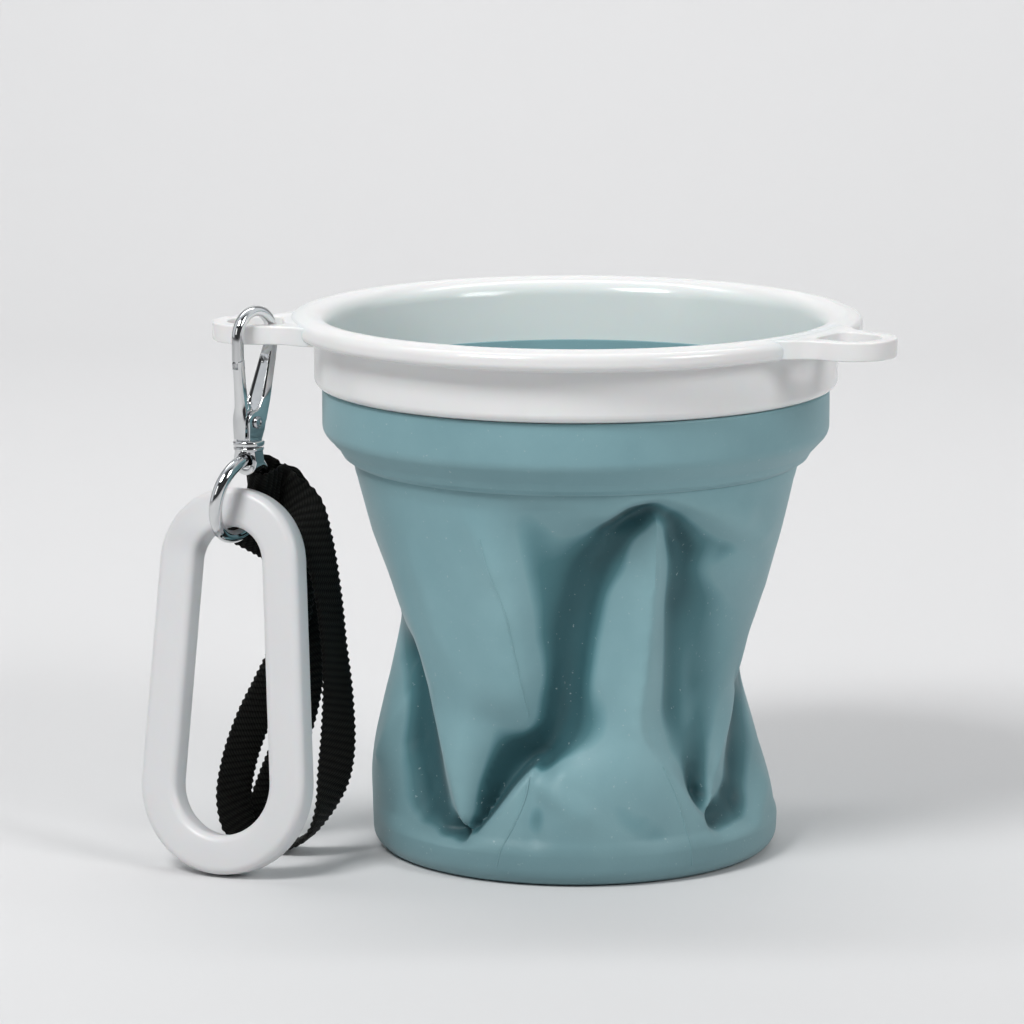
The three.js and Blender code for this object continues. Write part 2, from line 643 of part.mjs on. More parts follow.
const strapStops = [
  wrapStop(0.7, -wrapReach),
  wrapStop(3.6, -wrapReach - 0.2, 1.4),
  follow([-78.4, -6.6, 98.4, 0.2, -0.1, 0.96]),
  follow([-75.2, -6.6, 97, 0.55, 0.05, 0.8]),
  follow([-73.2, -7.6, 91, 0.85, 0.3, 0.4]),
  follow([-72, -8.6, 82, 0.8, 0.55, 0.1]),
  follow([-71.8, -9.2, 70, 0.7, 0.7, 0]),
  follow([-74.5, -8.4, 58, 0.7, 0.65, -0.25]),
  follow([-79.5, -6, 46, 0.75, 0.5, -0.4]),
  follow([-85, -3.4, 34, 0.8, 0.4, -0.4]),
  follow([-89, -1.2, 22, 0.85, 0.4, -0.25]),
  follow([-90.4, -0.6, 12, 0.9, 0.4, 0]),
  follow([-88.6, -1.8, 4.4, 0.8, 0.55, 0.15]),
  follow([-83.5, -5.4, 1.4, 0.55, 0.83, 0.05]),
  follow([-76.6, -9.8, 1.5, 0.45, 0.9, 0.05]),
  follow([-69.6, -13.4, 5.6, 0.35, 0.93, 0.1]),
  follow([-65, -15.2, 14, 0.6, 0.75, 0.2]),
  follow([-62.4, -16, 27, 0.9, 0.42, 0]),
  follow([-62, -15.6, 42, 0.75, 0.65, 0]),
  follow([-63, -15, 57, 0.58, 0.8, 0]),
  follow([-64.8, -14.2, 72, 0.62, 0.78, 0.05]),
  follow([-67.6, -13, 84, 0.75, 0.6, 0.25]),
  follow([-70.6, -11.4, 92, 0.7, 0.3, 0.65]),
  follow([-74, -10.6, 95.6, 0.3, 0, 0.95]),
  wrapStop(3.2, wrapReach + 0.3),
  wrapStop(0.4, wrapReach),
  wrapStop(-0.75 * wrapReach - wrapCup, 0.8 * wrapReach),
  wrapStop(-wrapReach - wrapCup, 0),
  wrapStop(-0.75 * wrapReach - wrapCup, -0.8 * wrapReach),
  wrapStop(-0.3, -wrapReach),
];
const strapLine = new THREE.CatmullRomCurve3(strapStops.map((s) => new THREE.Vector3(s[0], s[1], s[2])));
const widthLine = new THREE.CatmullRomCurve3(strapStops.map((s) => new THREE.Vector3(s[3], s[4], s[5])));
const strapCorners = [];
const strapFaces = [];
for (let step = 0; step <= strapSteps; step += 1) {
  const t = step / strapSteps;
  const centre = strapLine.getPoint(t);
  const along = strapLine.getTangent(t);
  const across = widthLine.getPoint(t);
  across.addScaledVector(along, -across.dot(along)).normalize();
  const out = new THREE.Vector3().crossVectors(along, across);
  for (const [a, b] of [[-1, -1], [1, -1], [1, 1], [-1, 1]]) {
    const corner = centre.clone();
    corner.addScaledVector(across, (a * strapWidth) / 2);
    corner.addScaledVector(out, (b * strapThickness) / 2);
    strapCorners.push(...corner.toArray());
  }
  if (step > 0) {
    for (let side = 0; side < 4; side += 1) {
      const a = (step - 1) * 4 + side;
      const b = (step - 1) * 4 + ((side + 1) % 4);
      strapFaces.push(a, b, b + 4, a, b + 4, a + 4);
    }
  }
}
const last = strapSteps * 4;
strapFaces.push(0, 3, 2, 0, 2, 1);
strapFaces.push(last, last + 1, last + 2, last, last + 2, last + 3);
const strap = new THREE.BufferGeometry();
strap.setAttribute('position', new THREE.Float32BufferAttribute(strapCorners, 3));
strap.setIndex(strapFaces);
strap.computeVertexNormals();
bowl.add(named('strap_webbing', strap, black));

export default bowl;
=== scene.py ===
import math

import bmesh
import bpy
import numpy as np
from mathutils import Matrix, Vector


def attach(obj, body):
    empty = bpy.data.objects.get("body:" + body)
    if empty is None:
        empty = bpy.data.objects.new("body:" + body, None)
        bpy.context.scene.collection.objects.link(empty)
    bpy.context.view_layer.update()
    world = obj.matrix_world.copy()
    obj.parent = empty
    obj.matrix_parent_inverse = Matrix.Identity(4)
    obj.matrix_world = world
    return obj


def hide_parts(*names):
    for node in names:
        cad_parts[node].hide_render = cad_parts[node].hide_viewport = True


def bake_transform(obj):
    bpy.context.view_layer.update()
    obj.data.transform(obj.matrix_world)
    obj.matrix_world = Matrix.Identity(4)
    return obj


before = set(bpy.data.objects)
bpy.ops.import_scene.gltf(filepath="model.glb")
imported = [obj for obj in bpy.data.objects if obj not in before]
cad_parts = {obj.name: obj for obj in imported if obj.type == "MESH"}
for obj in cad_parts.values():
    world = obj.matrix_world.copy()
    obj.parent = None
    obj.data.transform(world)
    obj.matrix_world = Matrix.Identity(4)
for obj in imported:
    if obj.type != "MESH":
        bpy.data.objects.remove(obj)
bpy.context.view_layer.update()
mm = 0.001
fullTurn = 2 * math.pi
print("frame loaded")


# camera, floor and light

view = {
    "place": (0, -1.35, 0.329),
    "tilt": 10.094,
    "turn": 0.71,
    "lens": 183.0,
}
cameraData = bpy.data.cameras.new("photoCamera")
cameraData.sensor_width = 36
cameraData.lens = view["lens"]
cameraData.clip_end = 20
camera = bpy.data.objects.new("photoCamera", cameraData)
camera.location = view["place"]
camera.rotation_euler = (math.radians(90 - view["tilt"]), 0, math.radians(view["turn"]))
bpy.context.collection.objects.link(camera)
bpy.context.scene.camera = camera
bpy.context.scene.view_settings.view_transform = "Standard"


def newMaterial(name):
    material = bpy.data.materials.new(name)
    material.use_nodes = True
    nodes = material.node_tree.nodes
    return material, nodes, material.node_tree.links, nodes["Principled BSDF"]


def addNode(nodes, kind, **values):
    node = nodes.new(kind)
    for name, value in values.items():
        if name in node.inputs:
            node.inputs[name].default_value = value
        else:
            setattr(node, name, value)
    return node


def addRamp(nodes, stops, interpolation="LINEAR"):
    ramp = nodes.new("ShaderNodeValToRGB")
    ramp.color_ramp.interpolation = interpolation
    ramp.color_ramp.elements[0].position = stops[0][0]
    ramp.color_ramp.elements[0].color = stops[0][1]
    ramp.color_ramp.elements[1].position = stops[-1][0]
    ramp.color_ramp.elements[1].color = stops[-1][1]
    for position, colour in stops[1:-1]:
        element = ramp.color_ramp.elements.new(position)
        element.color = colour
    return ramp


def grey(value):
    return (value, value, value, 1)


studio = {
    "floorColour": (0.70, 0.70, 0.705, 1),
    "worldColour": (0.93, 0.96, 1.0, 1),
    "worldStrength": 0.07,
    "roomStrength": 0.8,
    "backdropAt": 0.9,
    "sweepRadius": 0.5,
}


def makeStudio():
    bm = bmesh.new()
    left = bm.verts.new((-3, -3, 0))
    right = bm.verts.new((3, -3, 0))
    edge = bm.edges.new((left, right))
    moved = bmesh.ops.extrude_edge_only(bm, edges=[edge])
    verts = [g for g in moved["geom"] if isinstance(g, bmesh.types.BMVert)]
    bmesh.ops.translate(bm, verts=verts, vec=(0, 3 + studio["backdropAt"], 0))
    edges = [g for g in moved["geom"] if isinstance(g, bmesh.types.BMEdge)]
    centre = (0, studio["backdropAt"], studio["sweepRadius"])
    spun = bmesh.ops.spin(
        bm, geom=verts + edges, cent=centre, axis=(1, 0, 0), angle=math.pi / 2, steps=24
    )
    top = [g for g in spun["geom_last"] if isinstance(g, bmesh.types.BMEdge)]
    moved = bmesh.ops.extrude_edge_only(bm, edges=top)
    verts = [g for g in moved["geom"] if isinstance(g, bmesh.types.BMVert)]
    bmesh.ops.translate(bm, verts=verts, vec=(0, 0, 2.5))
    bmesh.ops.remove_doubles(bm, verts=bm.verts, dist=1e-5)
    bmesh.ops.recalc_face_normals(bm, faces=bm.faces)
    floorFace = min(bm.faces, key=lambda face: face.calc_center_median().z)
    if floorFace.normal.z < 0:
        bmesh.ops.reverse_faces(bm, faces=bm.faces)
    mesh = bpy.data.meshes.new("studioSweep")
    bm.to_mesh(mesh)
    bm.free()
    mesh.polygons.foreach_set("use_smooth", [True] * len(mesh.polygons))
    sweep = bpy.data.objects.new("studioSweep", mesh)
    bpy.context.collection.objects.link(sweep)
    material, nodes, links, shader = newMaterial("studioPaper")
    shader.inputs["Base Color"].default_value = studio["floorColour"]
    shader.inputs["Roughness"].default_value = 0.75
    side = addNode(nodes, "ShaderNodeNewGeometry")
    clear = addNode(nodes, "ShaderNodeBsdfTransparent")
    paper = addNode(nodes, "ShaderNodeMixShader")  # the sweep is clear from behind
    links.new(side.outputs["Backfacing"], paper.inputs[0])
    links.new(shader.outputs[0], paper.inputs[1])
    links.new(clear.outputs[0], paper.inputs[2])
    links.new(paper.outputs[0], nodes["Material Output"].inputs["Surface"])
    mesh.materials.append(material)

    world = bpy.data.worlds.new("studioLight")
    world.use_nodes = True
    bpy.context.scene.world = world
    background = world.node_tree.nodes["Background"]
    background.inputs["Color"].default_value = studio["worldColour"]
    background.inputs["Strength"].default_value = studio["worldStrength"]
    nodes, links = world.node_tree.nodes, world.node_tree.links
    coords = addNode(nodes, "ShaderNodeTexCoord")
    split = addNode(nodes, "ShaderNodeSeparateXYZ")
    links.new(coords.outputs["Generated"], split.inputs[0])
    room = addNode(nodes, "ShaderNodeMapRange", interpolation_type="SMOOTHSTEP")
    room.inputs["From Min"].default_value = -0.5
    room.inputs["From Max"].default_value = -0.04
    room.inputs["To Min"].default_value = 0.05
    room.inputs["To Max"].default_value = studio["roomStrength"]
    links.new(split.outputs["Y"], room.inputs["Value"])
    mirrored = addNode(nodes, "ShaderNodeBackground", Color=studio["worldColour"])
    links.new(room.outputs["Result"], mirrored.inputs["Strength"])
    rays = addNode(nodes, "ShaderNodeLightPath")
    either = addNode(nodes, "ShaderNodeMixShader")
    links.new(rays.outputs["Is Glossy Ray"], either.inputs[0])
    links.new(background.outputs[0], either.inputs[1])
    links.new(mirrored.outputs[0], either.inputs[2])
    plain = addNode(nodes, "ShaderNodeBackground", Color=studio["floorColour"])
    seen = addNode(nodes, "ShaderNodeMixShader")
    links.new(rays.outputs["Is Camera Ray"], seen.inputs[0])
    links.new(either.outputs[0], seen.inputs[1])
    links.new(plain.outputs[0], seen.inputs[2])
    links.new(seen.outputs[0], nodes["World Output"].inputs["Surface"])


def softbox(name, place, aim, size, power, colour=(1, 1, 1)):
    data = bpy.data.lights.new(name, "AREA")
    data.shape = "RECTANGLE"
    data.size = size[0]
    data.size_y = size[1]
    data.energy = power
    data.color = colour
    lamp = bpy.data.objects.new(name, data)
    lamp.location = place
    lamp.rotation_euler = (Vector(aim) - Vector(place)).to_track_quat("-Z", "Y").to_euler()
    bpy.context.collection.objects.link(lamp)


makeStudio()
softbox("keyBox", (-0.62, -0.75, 1.15), (0, 0, 0.07), (0.45, 0.45), 14)
softbox("leftBox", (-1.1, -0.9, 0.6), (0, 0, 0.08), (0.5, 0.5), 1.2)
softbox("rightBox", (1.0, -0.85, 0.85), (0, 0, 0.08), (0.5, 0.5), 8)
softbox("backdropBox", (0, 0.35, 1.3), (0, 1.35, 0.45), (1.6, 0.4), 14.8)
print("studio ready")


# shared mesh helpers, in millimetres until a piece is finished


def filletPath(corners, segments=5):
    points = []
    for i, corner in enumerate(corners):
        radius = corner[2] if len(corner) > 2 else 0
        here = Vector(corner[:2])
        if radius <= 0 or i in (0, len(corners) - 1):
            points.append(tuple(here))
            continue
        back = (Vector(corners[i - 1][:2]) - here).normalized()
        ahead = (Vector(corners[i + 1][:2]) - here).normalized()
        half = back.angle(ahead) / 2
        reach = radius / math.tan(half)
        centre = here + (back + ahead).normalized() * (radius / math.sin(half))
        start = here + back * reach - centre
        end = here + ahead * reach - centre
        sweep = start.angle_signed(end)
        for k in range(segments + 1):
            turned = start.copy()
            turned.rotate(Matrix.Rotation(-sweep * k / segments, 2))
            points.append(tuple(centre + turned))
    return points


def spinProfile(bm, profile, steps, closed=False, axis=(0, 0, 1), centre=(0, 0, 0)):
    verts = [bm.verts.new((r, 0, z)) for r, z in profile]
    edges = [bm.edges.new(pair) for pair in zip(verts, verts[1:])]
    if closed:
        edges.append(bm.edges.new((verts[-1], verts[0])))
    made = bmesh.ops.spin(
        bm, geom=verts + edges, cent=centre, axis=axis, angle=fullTurn, steps=steps, use_merge=True
    )
    bmesh.ops.remove_doubles(bm, verts=bm.verts, dist=1e-4)
    bmesh.ops.recalc_face_normals(bm, faces=bm.faces)
    return made


def finishPiece(bm, name, body, material, replaced=(), sharp=None):
    bmesh.ops.scale(bm, vec=(mm, mm, mm), verts=bm.verts)
    mesh = bpy.data.meshes.new(name)
    bm.to_mesh(mesh)
    bm.free()
    mesh.polygons.foreach_set("use_smooth", [True] * len(mesh.polygons))
    if sharp:
        mesh.set_sharp_from_angle(angle=math.radians(sharp))
    mesh.materials.append(material)
    piece = bpy.data.objects.new(name, mesh)
    bpy.context.collection.objects.link(piece)
    if body:
        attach(piece, body)
    if replaced:
        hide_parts(*replaced)
    return piece


def splineThrough(stops, perSpan):
    points = [np.array(s, float) for s in stops]
    padded = [2 * points[0] - points[1]] + points + [2 * points[-1] - points[-2]]
    line = []
    for i in range(1, len(padded) - 2):
        p0, p1, p2, p3 = padded[i - 1 : i + 3]
        d0, d1, d2 = (max(np.linalg.norm(b - a), 1e-6) ** 0.5 for a, b in ((p0, p1), (p1, p2), (p2, p3)))
        m1 = d1 * ((p1 - p0) / d0 - (p2 - p0) / (d0 + d1) + (p2 - p1) / d1)
        m2 = d1 * ((p2 - p1) / d1 - (p3 - p1) / (d1 + d2) + (p3 - p2) / d2)
        for k in range(perSpan):
            t = k / perSpan
            line.append(
                p1
                + m1 * t
                + (3 * (p2 - p1) - 2 * m1 - m2) * t**2
                + (2 * (p1 - p2) + m1 + m2) * t**3
            )
    line.append(points[-1])
    return np.array(line)


def sweepRings(bm, rings):
    ring = [bm.verts.new(place) for place in rings[0]]
    bm.faces.new(ring)
    made = [ring]
    loop = [bm.edges.get(pair) for pair in zip(ring, ring[1:] + ring[:1])]
    for places in rings[1:]:
        geom = bmesh.ops.extrude_edge_only(bm, edges=loop)["geom"]
        fresh = {g for g in geom if isinstance(g, bmesh.types.BMVert)}
        loop = [g for g in geom if isinstance(g, bmesh.types.BMEdge) and fresh.issuperset(g.verts)]
        after = {}
        for vert in ring:
            for edge in vert.link_edges:
                if edge.other_vert(vert) in fresh:
                    after[vert] = edge.other_vert(vert)
        ring = [after[vert] for vert in ring]
        made.append(ring)
        for vert, place in zip(ring, places):
            vert.co = place
    bm.faces.new(ring)
    bmesh.ops.recalc_face_normals(bm, faces=bm.faces)
    return made


def boxyRing(centre, wide, deep, wideHalf, deepHalf, power, count=28):
    places = []
    for k in range(count):
        turn = fullTurn * k / count
        c, s = math.cos(turn), math.sin(turn)
        a = math.copysign(abs(c) ** (2 / power), c) * wideHalf
        b = math.copysign(abs(s) ** (2 / power), s) * deepHalf
        places.append(Vector(centre) + Vector(wide) * a + Vector(deep) * b)
    return places


# finishes


def siliconeFinish():
    material, nodes, links, shader = newMaterial("tealSilicone")
    coords = addNode(nodes, "ShaderNodeTexCoord")
    cloud = addNode(nodes, "ShaderNodeTexNoise", Scale=26.0, Detail=5.0, Roughness=0.6)
    links.new(coords.outputs["Object"], cloud.inputs["Vector"])
    tint = addRamp(nodes, [(0.32, (0.178, 0.330, 0.366, 1)), (0.7, (0.220, 0.388, 0.424, 1))])
    links.new(cloud.outputs["Fac"], tint.inputs["Fac"])
    # painted shade and light on the folds: the paintedFoldShade attribute darkens the colour in the fold hollows and
    # lightens it a little on the ridges
    fold = addNode(nodes, "ShaderNodeAttribute", attribute_name="paintedFoldShade")
    foldShade = addRamp(
        nodes,
        [
            (0.0, (0.11, 0.25, 0.27, 1)),
            (0.28, (0.29, 0.48, 0.50, 1)),
            (0.43, (0.74, 0.85, 0.86, 1)),
            (0.5, grey(0.98)),
            (1.0, (1.08, 1.06, 1.05, 1)),
        ],
    )
    links.new(fold.outputs["Fac"], foldShade.inputs["Fac"])
    shaded = addNode(nodes, "ShaderNodeMix", data_type="RGBA", blend_type="MULTIPLY")
    shaded.inputs[0].default_value = 1.0
    # painted shade: the colour darkens towards the bottom 40 mm of the body, down to 0.74 at the floor
    split = addNode(nodes, "ShaderNodeSeparateXYZ")
    links.new(coords.outputs["Object"], split.inputs[0])
    low = addNode(nodes, "ShaderNodeMapRange", interpolation_type="SMOOTHSTEP")
    low.inputs["From Max"].default_value = 0.04
    low.inputs["To Min"].default_value = 0.74
    links.new(split.outputs["Z"], low.inputs["Value"])
    footShaded = addNode(nodes, "ShaderNodeMix", data_type="RGBA", blend_type="MULTIPLY")
    footShaded.inputs[0].default_value = 1.0
    links.new(tint.outputs["Color"], footShaded.inputs[6])
    links.new(low.outputs["Result"], footShaded.inputs[7])
    links.new(footShaded.outputs[2], shaded.inputs[6])
    links.new(foldShade.outputs["Color"], shaded.inputs[7])
    lint = addNode(nodes, "ShaderNodeTexNoise", Scale=900.0, Detail=2.0)
    links.new(coords.outputs["Object"], lint.inputs["Vector"])
    specks = addRamp(nodes, [(0.70, grey(0.0)), (0.78, grey(0.5))])
    links.new(lint.outputs["Fac"], specks.inputs["Fac"])
    dusted = addNode(nodes, "ShaderNodeMix", data_type="RGBA")
    dusted.inputs[7].default_value = (0.42, 0.52, 0.54, 1)
    links.new(specks.outputs["Color"], dusted.inputs[0])
    links.new(shaded.outputs[2], dusted.inputs[6])
    links.new(dusted.outputs[2], shader.inputs["Base Color"])
    rough = addNode(nodes, "ShaderNodeMapRange")
    rough.inputs["From Min"].default_value = 0.3
    rough.inputs["From Max"].default_value = 0.7
    rough.inputs["To Min"].default_value = 0.46
    rough.inputs["To Max"].default_value = 0.6
    links.new(cloud.outputs["Fac"], rough.inputs["Value"])
    links.new(rough.outputs["Result"], shader.inputs["Roughness"])
    grain = addNode(nodes, "ShaderNodeTexNoise", Scale=1400.0, Detail=3.0)
    links.new(coords.outputs["Object"], grain.inputs["Vector"])
    bump = addNode(nodes, "ShaderNodeBump", Strength=0.06, Distance=0.0004)
    links.new(grain.outputs["Fac"], bump.inputs["Height"])
    links.new(bump.outputs["Normal"], shader.inputs["Normal"])
    shader.inputs["Specular IOR Level"].default_value = 0.42
    shader.inputs["Sheen Weight"].default_value = 0.12
    shader.inputs["Sheen Roughness"].default_value = 0.5
    return material


def plasticFinish(name, low, high, roughLow, roughHigh, inside=None):
    material, nodes, links, shader = newMaterial(name)
    coords = addNode(nodes, "ShaderNodeTexCoord")
    cloud = addNode(nodes, "ShaderNodeTexNoise", Scale=18.0, Detail=4.0)
    links.new(coords.outputs["Object"], cloud.inputs["Vector"])
    tint = addRamp(nodes, [(0.3, low), (0.7, high)])
    links.new(cloud.outputs["Fac"], tint.inputs["Fac"])
    links.new(tint.outputs["Color"], shader.inputs["Base Color"])
    # painted bounce light: within the given radius the colour is tinted slightly green-blue for light thrown back from
    # the teal silicone
    if inside:
        flat = addNode(nodes, "ShaderNodeVectorMath", operation="MULTIPLY")
        flat.inputs[1].default_value = (1, 1, 0)
        links.new(coords.outputs["Object"], flat.inputs[0])
        away = addNode(nodes, "ShaderNodeVectorMath", operation="LENGTH")
        links.new(flat.outputs["Vector"], away.inputs[0])
        within = addNode(nodes, "ShaderNodeMapRange")
        within.inputs["From Min"].default_value = inside
        within.inputs["From Max"].default_value = inside + 0.002
        within.inputs["To Min"].default_value = 1
        within.inputs["To Max"].default_value = 0
        links.new(away.outputs["Value"], within.inputs["Value"])
        tealBounceTint = addNode(nodes, "ShaderNodeMix", data_type="RGBA", blend_type="MULTIPLY")
        tealBounceTint.inputs[7].default_value = (0.93, 1.0, 0.985, 1)
        links.new(within.outputs["Result"], tealBounceTint.inputs[0])
        links.new(tint.outputs["Color"], tealBounceTint.inputs[6])
        links.new(tealBounceTint.outputs[2], shader.inputs["Base Color"])
    scuff = addNode(nodes, "ShaderNodeTexNoise", Scale=140.0, Detail=6.0, Roughness=0.7)
    links.new(coords.outputs["Object"], scuff.inputs["Vector"])
    rough = addNode(nodes, "ShaderNodeMapRange")
    rough.inputs["From Min"].default_value = 0.3
    rough.inputs["From Max"].default_value = 0.75
    rough.inputs["To Min"].default_value = roughLow
    rough.inputs["To Max"].default_value = roughHigh
    links.new(scuff.outputs["Fac"], rough.inputs["Value"])
    links.new(rough.outputs["Result"], shader.inputs["Roughness"])
    peel = addNode(nodes, "ShaderNodeTexNoise", Scale=420.0, Detail=2.0)
    links.new(coords.outputs["Object"], peel.inputs["Vector"])
    bump = addNode(nodes, "ShaderNodeBump", Strength=0.015, Distance=0.0002)
    links.new(peel.outputs["Fac"], bump.inputs["Height"])
    links.new(bump.outputs["Normal"], shader.inputs["Normal"])
    shader.inputs["Subsurface Weight"].default_value = 0.12
    shader.inputs["Subsurface Scale"].default_value = 0.004
    return material


def metalFinish(name, colour, roughLow, roughHigh, scratch):
    material, nodes, links, shader = newMaterial(name)
    coords = addNode(nodes, "ShaderNodeTexCoord")
    cloud = addNode(nodes, "ShaderNodeTexNoise", Scale=160.0, Detail=5.0)
    links.new(coords.outputs["Object"], cloud.inputs["Vector"])
    low = (colour[0] * 0.9, colour[1] * 0.9, colour[2] * 0.92, 1)
    tint = addRamp(nodes, [(0.3, low), (0.65, (*colour, 1))])
    links.new(cloud.outputs["Fac"], tint.inputs["Fac"])
    links.new(tint.outputs["Color"], shader.inputs["Base Color"])
    rough = addNode(nodes, "ShaderNodeMapRange")
    rough.inputs["From Min"].default_value = 0.3
    rough.inputs["From Max"].default_value = 0.7
    rough.inputs["To Min"].default_value = roughLow
    rough.inputs["To Max"].default_value = roughHigh
    links.new(cloud.outputs["Fac"], rough.inputs["Value"])
    links.new(rough.outputs["Result"], shader.inputs["Roughness"])
    hair = addNode(nodes, "ShaderNodeTexNoise", Scale=700.0, Detail=3.0)
    links.new(coords.outputs["Object"], hair.inputs["Vector"])
    bump = addNode(nodes, "ShaderNodeBump", Strength=scratch, Distance=0.0002)
    links.new(hair.outputs["Fac"], bump.inputs["Height"])
    links.new(bump.outputs["Normal"], shader.inputs["Normal"])
    shader.inputs["Metallic"].default_value = 1.0
    return material


def webbingFinish():
    material, nodes, links, shader = newMaterial("blackWebbing")
    coords = addNode(nodes, "ShaderNodeUVMap", uv_map="weave")
    phase = addNode(nodes, "ShaderNodeVectorMath", operation="DOT_PRODUCT")
    phase.inputs[1].default_value = (fullTurn / 0.0019, 0.6 * fullTurn / 0.005, 0)
    links.new(coords.outputs["UV"], phase.inputs[0])
    rib = addNode(nodes, "ShaderNodeMath", operation="COSINE")
    links.new(phase.outputs["Value"], rib.inputs[0])
    # painted light and shade on the ribs: the colour is full on each rib's crown and falls to 0.15 in the grooves
    # between them
    ribShade = addNode(nodes, "ShaderNodeMapRange")
    ribShade.inputs["From Min"].default_value = -1
    ribShade.inputs["To Min"].default_value = 0.15
    links.new(rib.outputs[0], ribShade.inputs["Value"])
    wave = addNode(nodes, "ShaderNodeTexWave", Scale=1.0, Distortion=0.6, Detail=2.0)
    wave.inputs["Detail Scale"].default_value = 2.0
    stretch = addNode(nodes, "ShaderNodeMapping")
    stretch.inputs["Scale"].default_value = (300, 2600, 1)
    stretch.inputs["Rotation"].default_value = (0, 0, math.radians(8))
    links.new(coords.outputs["UV"], stretch.inputs["Vector"])
    links.new(stretch.outputs["Vector"], wave.inputs["Vector"])
    tint = addRamp(nodes, [(0.2, (0.0035, 0.0036, 0.0028, 1)), (0.85, (0.0125, 0.013, 0.0102, 1))])
    links.new(wave.outputs["Fac"], tint.inputs["Fac"])
    ribbed = addNode(nodes, "ShaderNodeMix", data_type="RGBA", blend_type="MULTIPLY")
    ribbed.inputs[0].default_value = 1.0
    links.new(tint.outputs["Color"], ribbed.inputs[6])
    links.new(ribShade.outputs["Result"], ribbed.inputs[7])
    links.new(ribbed.outputs[2], shader.inputs["Base Color"])
    fuzz = addNode(nodes, "ShaderNodeTexNoise", Scale=1500.0, Detail=3.0)
    links.new(stretch.outputs["Vector"], fuzz.inputs["Vector"])
    bump = addNode(nodes, "ShaderNodeBump", Strength=0.35, Distance=0.0003)
    links.new(wave.outputs["Fac"], bump.inputs["Height"])
    links.new(bump.outputs["Normal"], shader.inputs["Normal"])
    shader.inputs["Roughness"].default_value = 0.72
    shader.inputs["Sheen Weight"].default_value = 0.03
    shader.inputs["Sheen Roughness"].default_value = 0.4
    shader.inputs["Specular IOR Level"].default_value = 0.18
    return material


tealSilicone = siliconeFinish()
# the rim's inner wall gets the painted teal bounce light
rimWhite = plasticFinish("rimWhite", (0.765, 0.77, 0.77, 1), (0.785, 0.79, 0.79, 1), 0.17, 0.185, inside=0.0648)
linkWhite = plasticFinish("linkWhite", (0.66, 0.665, 0.675, 1), (0.68, 0.685, 0.695, 1), 0.34, 0.4)
brightChrome = metalFinish("brightChrome", (0.70, 0.71, 0.71), 0.04, 0.09, 0.02)
springSteel = metalFinish("springSteel", (0.55, 0.55, 0.56), 0.2, 0.32, 0.06)
blackWebbing = webbingFinish()
print("finishes made")


# silicone body: turned profile, then the wall drawn over its folds

bowlBody = {
    "bandRadius": 66.5,
    "bandInner": 62.2,
    "bandTop": 122.7,
    "wallTop": (58.3, 103.0),
    "wallFoot": (53.6, 8.0),
    "wallThickness": 1.8,
    "baseThickness": 2.6,
    "columns": 336,
    "rows": 160,
    "tension": 0.03,
    "levels": ((120, 49, 400), (240, 97, 300), (480, 193, 260)),
    "softPasses": 4,
}

